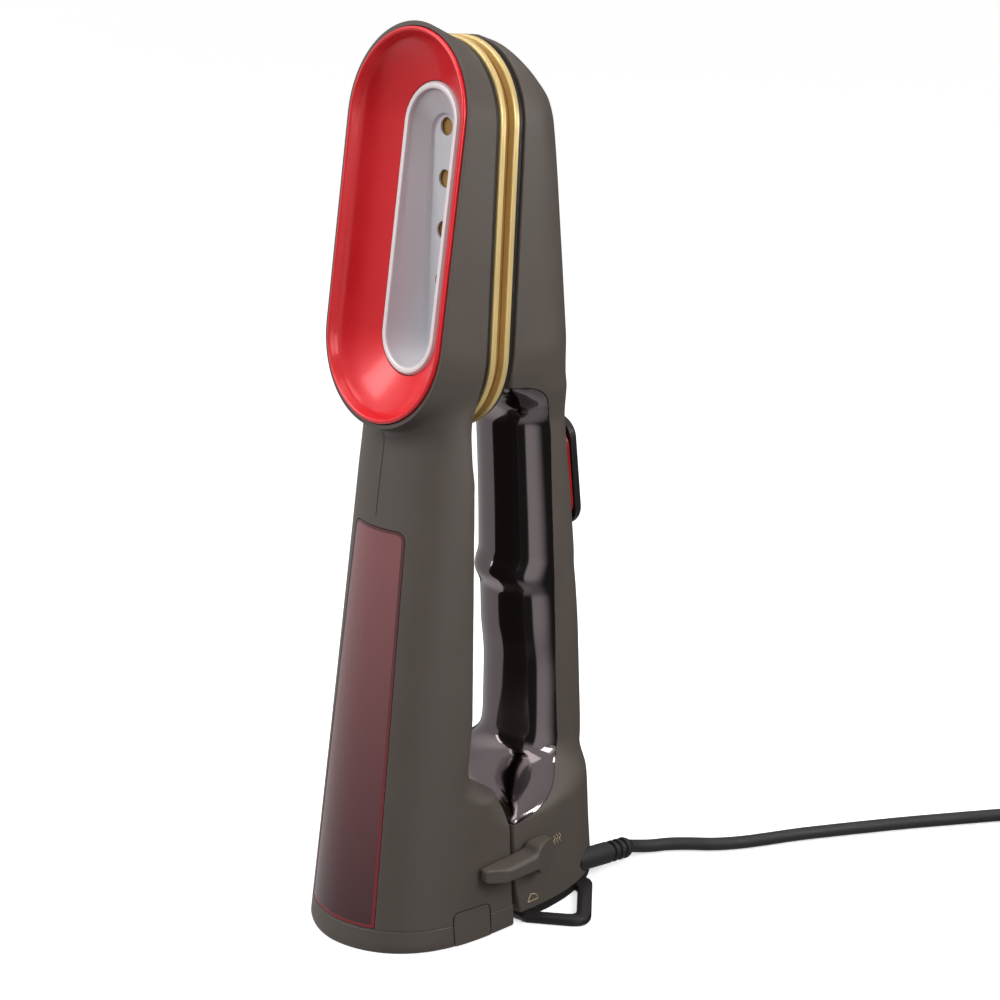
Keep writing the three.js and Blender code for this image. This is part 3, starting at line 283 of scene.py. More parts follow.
NOZZLE_FLOOR_N = -2.1
STEAM_HOLES = {"count": 5, "pitch": 18.6, "shift": 1.6, "radius": 3.3}
RIM_NEAR = 1.8          # the press plates' steps, measured from the split between them
RIM_FAR = 4.4
PAD_N = 0.3
HOUSING_N = 6.7
WINDOW = {"bottom": 9.6, "top": 160, "half_width": 19.2, "narrowing": 0.031, "corner": 4}
DOOR = {"front": -28.4, "back": -12.2, "top": 13.6, "corner": 3.5, "wall": 1.6, "gap": 0.45}
HINGE_OPENING = {"x": 28, "back": 13, "front": 8, "top": 34}
FOOT = {"x": 22, "steam_y": -30, "handle_y": 42, "pocket_radius": 5.3, "pocket_depth": 1.5}
SCREW = {"x": 14, "steam_y": -44, "handle_y": 52, "pocket_radius": 3.1}
LEVER = {
    "y": 12.5, "z": 27.6, "inner": 39.2, "outer": 47.4, "nose": -17, "bottom": 24.5, "top": 29.8, "hub": 6.2,
    "shaft": 4,
}
TRIGGER = {
    "y": 55.6, "z": 164, "tilt": -6.1, "half_width": 7.4, "half_length": 21, "proud": 7, "under": 2.4,
}
LOOP = {"root_x": 24, "front": 3.4, "back": 41.8, "band": 5.9, "shoulder": 2.4, "height": 3.8}
RELIEF = {"x": 28.5, "wall_y": 50, "z": 8, "end_y": 72.4, "end_z": 5.6, "bore": 4.75}
CORD_RADIUS = 2.7
COIL = {
    "x": 164.8, "y": 232.8, "inner": 22, "outer": 38.5, "pitch": 5.5, "turns": 3, "layers": 3,
    "start": 148.4,     # degrees: where the lead runs onto the outer turn
}
TAIL = {"radius": 24.5, "from_angle": 220, "to_angle": 110}
PLUG = {"length": 34, "height": 15, "pitch": 12.7, "blade_length": 17, "blade_half_width": 3.15}

STEAM, HANDLE = "steam_half", "handle_half"


# -------- materials

def rgb(red, green, blue):
    """A colour given as it is seen on a screen, made linear."""
    linear = [((c / 255 + 0.055) / 1.055) ** 2.4 if c > 10 else c / 255 / 12.92 for c in (red, green, blue)]
    return (*linear, 1)


def node(tree, kind, inputs=None, **settings):
    """A shader node of a kind; its inputs are linked to sockets or set to values."""
    made = tree.nodes.new("ShaderNode" + kind)
    for key, value in settings.items():
        setattr(made, key, value)
    for key, value in (inputs or {}).items():
        if isinstance(value, bpy.types.NodeSocket):
            tree.links.new(value, made.inputs[key])
        else:
            made.inputs[key].default_value = value
    return made


def surface(name, color, roughness, metallic=0.0, vary=0.05, rough_vary=0.05, grain=2500, bump=0.05,
            patch=60, round_edge=0.0, stretch=(1, 1, 1), low=None, high=None, **sockets):
    """A material with cloudy colour, uneven gloss and a fine moulded grain, all in the object's own space.

    low and high, each (height in metres, colour), make its colour change with height.
    """
    material = bpy.data.materials.new(name)
    material.use_nodes = True
    tree = material.node_tree
    shader = tree.nodes["Principled BSDF"]
    place = node(tree, "TexCoord").outputs["Object"]
    place = node(tree, "Mapping", {"Vector": place, "Scale": stretch}).outputs["Vector"]
    noise = lambda scale, detail: node(
        tree, "TexNoise", {"Vector": place, "Scale": scale, "Detail": detail}).outputs["Fac"]
    clouds = noise(patch, 4.0)
    fine = noise(grain, 2.0)
    dark = tuple(c * (1 - vary) for c in color[:3]) + (1,)
    light = tuple(min(1, c * (1 + vary)) for c in color[:3]) + (1,)
    mix = node(tree, "Mix", {"Factor": clouds}, data_type="RGBA")
    mix.inputs["A"].default_value = dark
    mix.inputs["B"].default_value = light
    colour = mix.outputs["Result"]
    if low and high:
        upright = node(tree, "TexCoord").outputs["Object"]
        height = node(tree, "SeparateXYZ", {"Vector": upright}).outputs["Z"]
        rise = node(tree, "MapRange", {"Value": height, "From Min": low[0], "From Max": high[0]})
        fade = node(tree, "Mix", {"Factor": rise.outputs["Result"]}, data_type="RGBA")
        fade.inputs["A"].default_value = low[1]
        fade.inputs["B"].default_value = high[1]
        clouded = node(tree, "Mix", {"Factor": 0.15}, data_type="RGBA")
        tree.links.new(fade.outputs["Result"], clouded.inputs["A"])
        tree.links.new(colour, clouded.inputs["B"])
        colour = clouded.outputs["Result"]
    tree.links.new(colour, shader.inputs["Base Color"])
    gloss = node(tree, "MapRange", {
        "Value": clouds, "From Min": 0.3, "From Max": 0.7,
        "To Min": max(0.02, roughness - rough_vary), "To Max": roughness + rough_vary,
    })
    tree.links.new(gloss.outputs["Result"], shader.inputs["Roughness"])
    normal = node(tree, "Bump", {"Height": fine, "Strength": bump, "Distance": 0.0002})
    if round_edge > 0:
        edge = node(tree, "Bevel", {"Radius": round_edge * MM}, samples=4)
        tree.links.new(edge.outputs["Normal"], normal.inputs["Normal"])
    tree.links.new(normal.outputs["Normal"], shader.inputs["Normal"])
    shader.inputs["Metallic"].default_value = metallic
    for key, value in sockets.items():
        shader.inputs[key.replace("_", " ")].default_value = value
    return material


# the look of each material slot
LOOKS = {
    "taupe_plastic": surface(
        "taupe_satin_plastic", rgb(88, 80, 74), 0.48, grain=2600, bump=0.12, round_edge=0.35,
    ),
    "black_plastic": surface(
        "black_plastic", rgb(30, 27, 27), 0.42, vary=0.12, grain=2200, bump=0.12, round_edge=0.3,
    ),
    "black_chrome": surface(
        "black_chrome", rgb(116, 107, 109), 0.09, 1.0, vary=0.04, rough_vary=0.02, grain=900, bump=0.01,
    ),
    "gold_plate": surface(
        "gold_ceramic_coating", rgb(232, 203, 138), 0.34, 0.35, grain=1800, round_edge=0.2,
    ),
    "red_metallic": surface(
        "red_metallic_lacquer", rgb(238, 28, 40), 0.34, 0.12, vary=0.06, grain=3000, bump=0.04,
        Coat_Weight=0.3, Coat_Roughness=0.15,
    ),
    "red_plastic": surface("red_plastic", rgb(150, 26, 30), 0.35, vary=0.08, grain=2000, bump=0.06),
    "silver_nozzle": surface(
        "silver_nozzle_plastic", rgb(216, 216, 221), 0.36, 0.1, vary=0.04, grain=2400, bump=0.08,
        round_edge=0.3,
    ),
    # the pane's own burgundy with painted light over it: darker towards the bottom as painted shade, light
    # pink towards the top as a painted highlight
    "window": surface(
        "burgundy_window_with_painted_light", rgb(92, 46, 50), 0.24, vary=0.06, rough_vary=0.03, grain=600, bump=0.01,
        low=(0.01, rgb(66, 24, 30)), high=(0.15, rgb(160, 98, 100)), Transmission_Weight=0.12, IOR=1.49,
        Coat_Weight=0.3, Coat_Roughness=0.08,
    ),
    "tank": surface(
        "smoked_tank_plastic", rgb(110, 60, 64), 0.2, vary=0.1, grain=900, bump=0.03,
        Transmission_Weight=0.5,
    ),
    "silicone": surface(
        "silicone", rgb(216, 212, 204), 0.6, grain=1500, bump=0.08, Subsurface_Weight=0.1,
    ),
    "cast_aluminium": surface(
        "cast_aluminium", rgb(170, 172, 174), 0.45, 0.9, vary=0.12, rough_vary=0.12, grain=1400,
        bump=0.35,
    ),
    "heater_sheath": surface(
        "heater_sheath", rgb(180, 116, 66), 0.36, 0.9, vary=0.2, rough_vary=0.1, grain=1200, bump=0.1,
    ),
    "steel": surface(
        "brushed_steel", rgb(168, 169, 172), 0.3, 1.0, vary=0.06, rough_vary=0.08, grain=900, bump=0.12,
        stretch=(0.05, 1, 1),
    ),
    "rubber": surface(
        "soft_black_rubber", rgb(37, 36, 38), 0.6, vary=0.12, rough_vary=0.08, grain=1800, bump=0.2,
    ),
    "circuit_board": surface(
        "circuit_board", rgb(40, 92, 56), 0.4, vary=0.35, patch=700, rough_vary=0.12, grain=900,
        bump=0.2,
    ),
}
# looks that only visual pieces have
# a lit copy of the nozzle's silver: painted highlight on the rim that faces the light
RIM_HIGHLIGHT_SILVER = surface("nozzle_rim_painted_highlight", rgb(250, 249, 250), 0.28, 0.05, vary=0.03, grain=2400)
# painted light: the window's edge is redder, reddest towards the bottom, as if light were caught in the
# pane's edge
WINDOW_EDGE_PAINTED_LIGHT = surface(
    "window_edge_painted_light", rgb(120, 46, 50), 0.25, vary=0.08, grain=600, bump=0.01,
    low=(0.03, rgb(134, 40, 46)), high=(0.13, rgb(92, 56, 60)),
)
# a shaded copy of the gold: painted shade in the groove between the two press plates
GROOVE_PAINTED_SHADE = surface("gold_groove_painted_shade", rgb(168, 128, 66), 0.4, 0.3, grain=1800)
PRINT = surface("gold_print", rgb(196, 176, 140), 0.4, 0.2, grain=2000, bump=0.03)


def paint_cad_nodes():
    """Every CAD node that stays gets the procedural material of its record slot."""
    slots = {part["node"]: part["material_slot"] for part in frame["record"]["subparts"]}
    for name, obj in frame["nodes"].items():
        look = LOOKS[slots[name]]
        for place in obj.material_slots:
            place.material = look
        if not obj.material_slots:
            obj.data.materials.append(look)


paint_cad_nodes()


# -------- ovals in the leaning head

def leaning(oval, x, u, n):
    """Places points of a leaning oval's own frame: x across, u up along it, n towards the back."""
    t = math.radians(oval["tilt"])
    x, u, n = np.broadcast_arrays(np.asarray(x, float), u, n)
    return np.stack([
        x,
        oval["y"] + u * math.sin(t) + n * math.cos(t),
        oval["z"] + u * math.cos(t) - n * math.sin(t),
    ], -1)


def stadium(half_width, half_length, ends=40, sides=24):
    """A stadium outline: straight sides and round ends."""
    straight = half_length - half_width
    turn = np.linspace(0, math.pi, ends + 1)
    run = np.linspace(straight, -straight, sides + 1)[1:-1]
    top = np.stack([half_width * np.cos(turn), straight + half_width * np.sin(turn)], 1)
    left = np.stack([np.full(len(run), -half_width), run], 1)
    return np.concatenate([top, left, -top, -left])


def oval_ring(oval, half_width, half_length, n, ends=40, sides=24):
    outline = stadium(half_width, half_length, ends, sides)
    return leaning(oval, outline[:, 0], outline[:, 1], n)


def oval_plate(name, oval, half_width, half_length, n0, n1):
    return loft(name, [oval_ring(oval, half_width, half_length, n) for n in (n0, n1)])


def oval_sweep(name, oval, half_width, half_length, section):
    """An oval ring whose closed section is a list of (inset, n)."""
    rings = [oval_ring(oval, half_width - inset, half_length - inset, n) for inset, n in section]
    return loft(name, rings, loop=True)


# -------- steam half

def head_plane_y(z, side):
    """How far back a head's press side is at height z: side -1 for the steam half, 1 for the other."""
    tilt = math.radians(PRESS["tilt"])
    return PRESS["y"] + side * HOUSING_N / math.cos(tilt) + (z - PRESS["z"]) * math.tan(tilt)


def saddle_arc(z, start, end):
    """The steam half's back: flat up to start, then an arc that reaches its head's press side at end."""
    if z <= start:
        return -GAP / 2
    t = max(0, (end - z) / (end - start))
    return head_plane_y(max(z, SADDLE["side_end"]), -1) * math.sqrt(1 - t * t)


# height, and how far the steam half's back corners are rounded there
BACK_ROUNDING = [
    (0, 0.8), (41.5, 1), (44, 2.5), (48, 6), (54, 13), (60, 14), (66, 11), (74, 6), (90, 3), (NECK_TOP_Z, 3),
]


def steam_ring(z, inset=0.0, points=84, corner=10):
    """One level ring of the steam half, drawn in by inset."""
    half_width = BASE_HALF_WIDTH - BASE_TAPER * z - inset
    depth = FRONT_DEPTH - FRONT_LEAN * z - inset
    back = saddle_arc(z, SADDLE["middle"], SADDLE["middle_end"]) - inset
    across = float(smooth_table(BACK_ROUNDING, z))
    edge_y = min(saddle_arc(z, SADDLE["side"], SADDLE["side_end"]), back + inset - across * 0.8)
    along = back + inset - edge_y
    start = math.asin(min(1, (-(back - along) / depth) ** (DEPTH_POWER / 2)))
    angle = np.linspace(start, math.pi - start, points + 1)
    x = half_width * np.sign(np.cos(angle)) * np.abs(np.cos(angle)) ** (2 / SIDE_POWER)
    y = -depth * np.sin(angle) ** (2 / DEPTH_POWER)
    turn = np.linspace(0, math.pi / 2, corner + 2)[1:-1]
    corner_x = x[0] - across + across * np.cos(turn)
    corner_y = back - along + along * np.sin(turn)
    xs = np.concatenate([x, -corner_x, corner_x[::-1]])
    ys = np.concatenate([y, corner_y, corner_y[::-1]])
    return np.stack([xs, ys, np.full(len(xs), float(z))], 1)


def steam_body(name, z0, z1, inset=0.0, step=2.0, points=84):
    heights = np.linspace(z0, z1, max(2, int((z1 - z0) / step)))
    return loft(name, [steam_ring(z, inset, points) for z in heights])


REAR = {**PRESS, "y": PRESS["y"] - HOUSING_N}


def steam_head(name, inset, t0, t1, steps=12):
    """The head from its face (t = 0) to its press side (t = 1), and past both."""
    rings = []
    for t in np.linspace(t0, t1, steps):
        mid = {key: (1 - t) * FACE[key] + t * REAR[key] for key in FACE}
        rings.append(oval_ring(mid, mid["half_width"] - inset, mid["half_length"] - inset, 0))
    return loft(name, rings)


def window_cutter(grow):
    """The tank window's outline, pushed from the front."""
    low, high = WINDOW["bottom"] - grow, WINDOW["top"] + grow
    half = lambda z: WINDOW["half_width"] - WINDOW["narrowing"] * z + grow
    r = WINDOW["corner"] + grow
    corners = [(-half(low), low, 0), (half(low), low, 0), (half(high), high, r), (-half(high), high, r)]
    outline = rounded(corners, 8)
    return loft("cutter", [[(x, y, z) for x, z in outline] for y in (-80, -20)])


def door_cutter(grow):
    """The fill door's outline, pushed from the +X side."""
    front, back, top, r = DOOR["front"] - grow, DOOR["back"] + grow, DOOR["top"] + grow, DOOR["corner"]
    outline = rounded([(front, -1, 0), (back, -1, 0), (back, top, r), (front, top, r)], 6)
    return loft("cutter", [[(x, y, z) for y, z in outline] for x in (22, 62)])


def leaning_block(oval, u0, u1, n0, n1, half=90):
    """A box in a leaning oval's own frame."""
    x = np.array([-half, half, half, -half])
    u = np.array([u0, u0, u1, u1])
    return loft("cutter", [leaning(oval, x, u, n) for n in (n0, n1)])


def make_steam_shell():
    """The steam half's housing: neck and head melted together, then trimmed and hollowed."""
    outer = steam_body("steam_shell", SEAM_Z - 4, NECK_TOP_Z)
    combine(outer, [steam_head("head", 0, -0.35, 1.35)], "UNION")
    voxels(outer, 0.9)
    relax(outer, 6, lambda p: 0.5 - 0.35 * smoothstep((p[:, 1] + 16) / 3) * smoothstep((84 - p[:, 2]) / 6))
    relax(outer, 60, lambda p: 0.6 * smoothstep((p[:, 2] - 176) / 16) * smoothstep((232 - p[:, 2]) / 14))
    above_saddle = SADDLE["middle_end"] + 1 - REAR["z"]
    trims = [
        leaning_block(FACE, -120, 120, -60, 0),
        block("cutter", (-90, -90, -30), (90, 90, SEAM_Z + 0.2)),
        leaning_block(REAR, above_saddle, 120, 0.01, 60),
    ]
    inner = steam_body("cutter", SEAM_Z - 2, NECK_TOP_Z - 4, WALL, 4)
    inner_head = steam_head("cutter", WALL, -0.2, 1.3)
    seat = oval_plate("cutter", FACE, LIP["half_width"] + 0.15, LIP["half_length"] + 0.15, -5, 3.7)
    h = HINGE_OPENING
    opening = block("cutter", (-h["x"], -h["back"], 5), (h["x"], 4, h["top"]))
    # the moulding line down the front of the neck
    parting = block("cutter", (-0.16, -90, 164), (0.16, -26.5, 196))
    openings = [seat, window_cutter(GAP), opening, door_cutter(DOOR["gap"]), parting]
    combine(outer, [*trims, inner, inner_head, *openings])
    finish_piece(outer, STEAM, "taupe_plastic", ["steam_housing"])


make_steam_shell()


def under_pockets(foot_y, screw_y, screw_depth):
    """The round pockets of two feet and two screws in an underside."""
    pockets = []
    for side in (-1, 1):
        for what, y, depth in ((FOOT, foot_y, FOOT["pocket_depth"]), (SCREW, screw_y, screw_depth)):
            pockets.append(bore(what["pocket_radius"], -2, depth, (side * what["x"], y, 0), (0, 0, 1)))
    return pockets


def make_base_cover():
    """The steam half's own base, below its seam."""
    heights = [0, 0.4, 1.2, 4, SEAM_Z - 0.25, SEAM_Z]
    insets = [0.9, 0.3, 0, 0, 0, 0.2]
    cover = loft("steam_base_cover", [steam_ring(z, inset) for z, inset in zip(heights, insets)])
    inner = loft("cutter", [steam_ring(z, WALL) for z in (2.6, SEAM_Z + 2)])
    notch = block("cutter", (-13.5, -10, -2), (13.5, 2, 12))
    pockets = under_pockets(FOOT["steam_y"], SCREW["steam_y"], 2.6)
    combine(cover, [inner, notch, door_cutter(DOOR["gap"]), *pockets])
    finish_piece(cover, STEAM, "taupe_plastic", ["steam_base_cap"])


make_base_cover()


def make_fill_door():
    """The fill door: its own stretch of the steam half's lower side."""
    heights = [0.4, 1.2, 6, SEAM_Z, 12, DOOR["top"] + 3]
    door = loft("fill_door_cover", [steam_ring(z, 0.05) for z in heights])
    inner = loft("cutter", [steam_ring(z, DOOR["wall"]) for z in (-2, DOOR["top"] + 5)])
    combine(door, [inner])
    combine(door, [door_cutter(0)], "INTERSECT")
    finish_piece(door, "fill_door", "taupe_plastic", ["fill_door"])


make_fill_door()


def make_window():
    """The tank window: a tinted pane with painted shade and highlight, and an edge round it reddened by
    painted light.
    """
    def window_body(cutters, name):
        pane = steam_body(name, SEAM_Z + 0.7, WINDOW["top"] + 4, 0.1, 6, 160)
        inner = steam_body("cutter", SEAM_Z - 2, WINDOW["top"] + 8, 2.2, 6, 160)
        combine(pane, [inner])
        combine(pane, [window_cutter(0)], "INTERSECT")
        return combine(pane, cutters) if cutters else pane

    pane = window_body([], "tank_window_pane")
    edge = window_body([window_cutter(-1.1)], "tank_window_edge")
    combine(pane, [window_cutter(-1.1)], "INTERSECT")
    # the edge strip carries the painted light of the pane's edge
    finish_piece(edge, STEAM, "window", material=WINDOW_EDGE_PAINTED_LIGHT)
    finish_piece(pane, STEAM, "window", ["tank_window"])


make_window()


# ---- the face: red dish and silver nozzle

def make_dish():
    """A thin oval bowl: a rolled lip, a concave face down to the slot, and its underside."""
    wide, tall = LIP["half_width"] - 0.15, LIP["half_length"] - 0.15
    lip = [(1.8, 3.6), (0.2, 3.5), (0, 3.1), (0, -0.5)]
    lip += [(0.8 - 0.8 * math.cos(a), -0.5 - 0.7 * math.sin(a)) for a in np.linspace(0.3, math.pi - 0.3, 8)]
    lip += [(1.75, -0.2), (2.2, 0.8)]
    slot_inset = wide - SLOT["half_width"] - 0.3
    bowl = lambda edge, shallow, deep, t: (edge + (slot_inset - edge) * t ** 1.47, shallow + deep * t)
    curve = [bowl(2.5, 1.5, SLOT["depth"] - 1.5, t) for t in np.linspace(0, 1, 24)]
    under = [(slot_inset, SLOT["depth"] + 1.4)]
    under += [bowl(2.9, 3.3, SLOT["depth"] - 1.9, t) for t in np.linspace(0.9, 0.05, 10)]
    section = lip + curve + under
    rings = []
    for inset, n in section:
        share = inset / slot_inset
        half_length = tall - share * (tall - SLOT["half_length"] - 0.3)
        rings.append(oval_ring(FACE, wide - inset, half_length, n))
    dish = loft("red_face_dish", rings, loop=True)
    finish_piece(dish, STEAM, "red_metallic", ["face_dish"], 40)


make_dish()


def make_nozzle():
    """The silver trough: a rim on the dish, lighter than the walls by a painted highlight, leaning walls and
    a floor with a row of steam holes.
    """
    a, b, depth = SLOT["half_width"], SLOT["half_length"], SLOT["depth"]
    floor_b = b - (a - SLOT["floor_half_width"]) - 1
    mouth = lambda inset, n: oval_ring(FACE, a - inset, b - inset, n)
    floor = lambda grow, n: oval_ring(PRESS, SLOT["floor_half_width"] + grow, floor_b + grow, n)
    deep = NOZZLE_FLOOR_N - 0.9
    outer = [mouth(0.3, depth - 0.1), mouth(0, depth + 0.3), mouth(0, depth + 1.6), mouth(1.4, depth + 2)]
    outer += [floor(1, NOZZLE_FLOOR_N)]
    rim = [mouth(0.7, depth - 0.4), mouth(2.3, depth - 0.4)]
    rim += [mouth(2.7, depth - 0.25), mouth(2.95, depth + 0.2)]
    wall_top, wall_end = mouth(3, depth + 0.9), floor(0.5, deep - 1.2)
    walls = [(1 - t) * wall_top + t * wall_end for t in np.linspace(0, 1, 8)]
    inside = walls + [floor(0.35, deep - 0.5), floor(0.05, deep - 0.12), floor(-0.5, deep)]
    rings = outer[::-1] + rim + inside
    trough = loft("steam_nozzle_trough", rings)
    holes = []
    for i in range(STEAM_HOLES["count"]):
        along = (i - (STEAM_HOLES["count"] - 1) / 2) * STEAM_HOLES["pitch"] + STEAM_HOLES["shift"]
        centre = leaning(PRESS, 0, along, NOZZLE_FLOOR_N)
        holes.append(bore(STEAM_HOLES["radius"], -4, 4, centre, (0, 1, 0)))
    combine(trough, holes)
    band = [(0.75, -0.3), (0.8, -0.62), (1.1, -0.72), (2.2, -0.72), (2.55, -0.55), (2.65, -0.2)]
    rim_band = oval_sweep("nozzle_rim_band", FACE, a, b, [(inset, depth + n) for inset, n in band])
    # the rim band wears the painted highlight
    finish_piece(rim_band, STEAM, "silver_nozzle", material=RIM_HIGHLIGHT_SILVER)
    finish_piece(trough, STEAM, "silver_nozzle", ["steam_nozzle"])


make_nozzle()


# ---- press plates and carriers

def make_press_plate(body, prefix, side, pocket):
    """One gold plate with its rim, and the black carrier that holds it to its head."""
    a, b = PRESS["half_width"], PRESS["half_length"]
    near, far = RIM_FAR + GAP, HOUSING_N - GAP
    section = rounded([(0.9, far, 0.2), (0.9, near, 0.2), (6, near, 0), (6, far, 0)], 3)
    carrier = oval_sweep(f"{prefix}_carrier_ring", PRESS, a, b, [(inset, side * n) for inset, n in section])
    finish_piece(carrier, body, "black_plastic", [f"{prefix}_plate_carrier"])
    round_rim = []
    for t in np.linspace(math.pi / 2, 0, 5):
        round_rim.append((0.7 - 0.7 * math.cos(t), RIM_FAR - 0.7 + 0.7 * math.sin(t)))
    for t in np.linspace(0, math.pi / 2, 5):
        round_rim.append((0.6 - 0.6 * math.cos(t), RIM_NEAR + 0.6 - 0.6 * math.sin(t)))
    pad = [(2.8, RIM_NEAR), (3.2, RIM_NEAR - 0.1), (4.0, PAD_N + 0.35), (4.4, PAD_N + 0.08), (5.0, PAD_N)]
    profile = [(7, RIM_FAR + 1.3), (7, RIM_FAR)] + round_rim + pad
    rings = [oval_ring(PRESS, a - inset, b - inset, side * n) for inset, n in profile]
    plate = loft(f"{prefix}_gold_plate", rings)
    if pocket:
        combine(plate, [pocket])
    finish_piece(plate, body, "gold_plate", [f"{prefix}_press_plate"])
    tilt = math.radians(PRESS["tilt"])

    def between_rims(centre):
        off_plane = (centre[1] - PRESS["y"]) * math.cos(tilt) - (centre[2] - PRESS["z"]) * math.sin(tilt)
        return abs(off_plane) < RIM_NEAR - 0.02

    # the faces between the rims get the painted shade of the groove
    paint_where(plate, GROOVE_PAINTED_SHADE, between_rims)


def nozzle_pocket():
    """The room that the nozzle takes in the steam half's press plate."""
    floor_b = SLOT["half_length"] - (SLOT["half_width"] - SLOT["floor_half_width"]) - 1
    levels = [(1.6, NOZZLE_FLOOR_N + 0.4), (10.5, -6), (10.5, -12)]
    rings = [oval_ring(PRESS, SLOT["floor_half_width"] + 0.6 * grow, floor_b + grow, n) for grow, n in levels]
    return loft("cutter", rings)


make_press_plate(STEAM, "steam", -1, nozzle_pocket())
make_press_plate(HANDLE, "handle", 1, None)


# -------- handle half

# height, half width, front and back of the section in y, where between them it is widest, and how
# blunt its front is
HANDLE_STATIONS = [
    (0, 39.3, 3.1, 64.8, 0.08, 9), (22, 38.2, 0.15, 63.8, 0.08, 9), (41.5, 37.2, 0.15, 62.8, 0.1, 8),
    (45, 34.5, 0.3, 62.6, 0.22, 4), (48.5, 30, 0.8, 62.4, 0.34, 2.5), (51.5, 25.5, 3.5, 62.2, 0.44, 1.85),
    (54, 23, 11.5, 62, 0.48, 1.8), (56.5, 21.6, 20.5, 61.9, 0.5, 1.95), (59.5, 21, 24.3, 61.8, 0.5, 2.1),
    (64, 20.8, 25.5, 61.7, 0.5, 2.1), (77, 20.5, 26, 61.2, 0.5, 2.1), (90, 20.2, 26.2, 60.7, 0.5, 2.1),
    (107, 20, 24.6, 60, 0.5, 2.1), (121, 19.6, 24, 59, 0.5, 2.1), (129.5, 19.4, 20.6, 58.5, 0.5, 2.1),
    (137, 19.2, 23, 58, 0.5, 2.1), (190, 18, 21.6, 52.8, 0.5, 2.1), (197, 20, 18.5, 52.2, 0.48, 2.2),
    (204, 24.5, 12, 51.6, 0.36, 3), (210, 27.6, 6.6, 51.1, 0.2, 6), (216, 29.7, 6.2, 50.6, 0.1, 10),
    (225, 31, 6.74, 49.7, 0.08, 12), (264, 31, 9.06, 45.2, 0.08, 12), (304, 31, 11.44, 39.4, 0.08, 12),
    (312, 30, 11.9, 36.6, 0.1, 12), (320, 26.6, 12.4, 30.6, 0.1, 12), (327, 21, 12.8, 24, 0.1, 10),
    (332, 13.6, 13.1, 18.4, 0.1, 8), (334.6, 4, 13.3, 14.6, 0.1, 4),
]
HANDLE_TOP = HANDLE_STATIONS[-1][0]
BACK_POWER = 2.3
HALF, FRONT, BACK, WIDE, BLUNT = range(1, 6)


def handle_value(column, z):
    return float(smooth_table([(s[0], s[column]) for s in HANDLE_STATIONS], z))


def handle_ring(z, inset=0.0, points=112, level=None):
    """One level ring of the handle half, drawn in by inset; level moves it to another height."""
    half = max(handle_value(HALF, z) - inset, 0.8)
    front = handle_value(FRONT, z) + inset
    back = max(handle_value(BACK, z) - inset, front + 0.8)
    middle = front + (back - front) * handle_value(WIDE, z)
    angle = (np.arange(points) + 0.5) / points * 2 * math.pi
    to_back = np.sin(angle) > 0
    power = np.where(to_back, BACK_POWER, handle_value(BLUNT, z))
    depth = np.where(to_back, back - middle, middle - front)
    x = half * np.sign(np.cos(angle)) * np.abs(np.cos(angle)) ** (2 / power)
    y = middle + depth * np.sign(np.sin(angle)) * np.abs(np.sin(angle)) ** (2 / power)
    return np.stack([x, y, np.full(points, float(z if level is None else level))], 1)


def handle_body(name, z0, z1, inset=0.0, step=1.5):
    heights = np.linspace(z0, z1, int((z1 - z0) / step))
    if z1 >= HANDLE_TOP:
        heights = np.concatenate([heights[heights < 326], np.linspace(326, z1, 10)])
    return loft(name, [handle_ring(z, inset) for z in heights])


def soften_saddle(body):
    """Evens out the body where the straight base turns into the slim grip."""
    return relax(body, 7, lambda p: 0.6 * smoothstep((p[:, 2] - 45) / 6) * smoothstep((104 - p[:, 2]) / 12))


GRIP_RIM = {"bottom_y": -6, "bottom_z": 41, "low_y": 39.5, "low_z": 62,
            "high_y": 37, "high_z": 184, "top_y": -4, "top_z": 210}


def grip_region(grow):
    """What lies in front of the side view line where the chrome grip meets the rear cover."""
    r = GRIP_RIM
    outline = [(-30, r["bottom_z"] - grow), (r["bottom_y"], r["bottom_z"] - grow)]
    for angle in np.linspace(0, math.pi / 2, 25)[1:]:
        outline.append((r["bottom_y"] + (r["low_y"] - r["bottom_y"] + grow) * math.sin(angle),
                        r["low_z"] - (r["low_z"] - r["bottom_z"] + grow) * math.cos(angle)))
    for angle in np.linspace(0, math.pi / 2, 25):
        outline.append((r["top_y"] + (r["high_y"] - r["top_y"] + grow) * max(math.cos(angle), 0) ** 0.55,
                        r["high_z"] + (r["top_z"] - r["high_z"] + grow) * math.sin(angle)))
    outline.append((-30, r["top_z"] + grow))
    return loft("cutter", [[(x, y, z) for y, z in outline] for x in (-60, 60)])


TRIGGER_OVAL = {key: TRIGGER[key] for key in ("y", "z", "tilt")}


def relief_at(y):
    """A point of the strain relief's axis."""
    slope = (RELIEF["end_z"] - RELIEF["z"]) / (RELIEF["end_y"] - RELIEF["wall_y"])
    return np.array((RELIEF["x"], y, RELIEF["z"] + (y - RELIEF["wall_y"]) * slope))


def relief_bore():
    start = relief_at(RELIEF["wall_y"] - 14)
    axis = relief_at(RELIEF["end_y"]) - start
    return bore(RELIEF["bore"], 0, 26, start, axis)


def hinge_opening():
    h = HINGE_OPENING
    return block("cutter", (-h["x"], -4, 2), (h["x"], h["front"], h["top"]))


def plate_opening():
    wide, tall = PRESS["half_width"] - 3.6, PRESS["half_length"] - 3.6
    return oval_plate("cutter", PRESS, wide, tall, 2, HOUSING_N + 6)


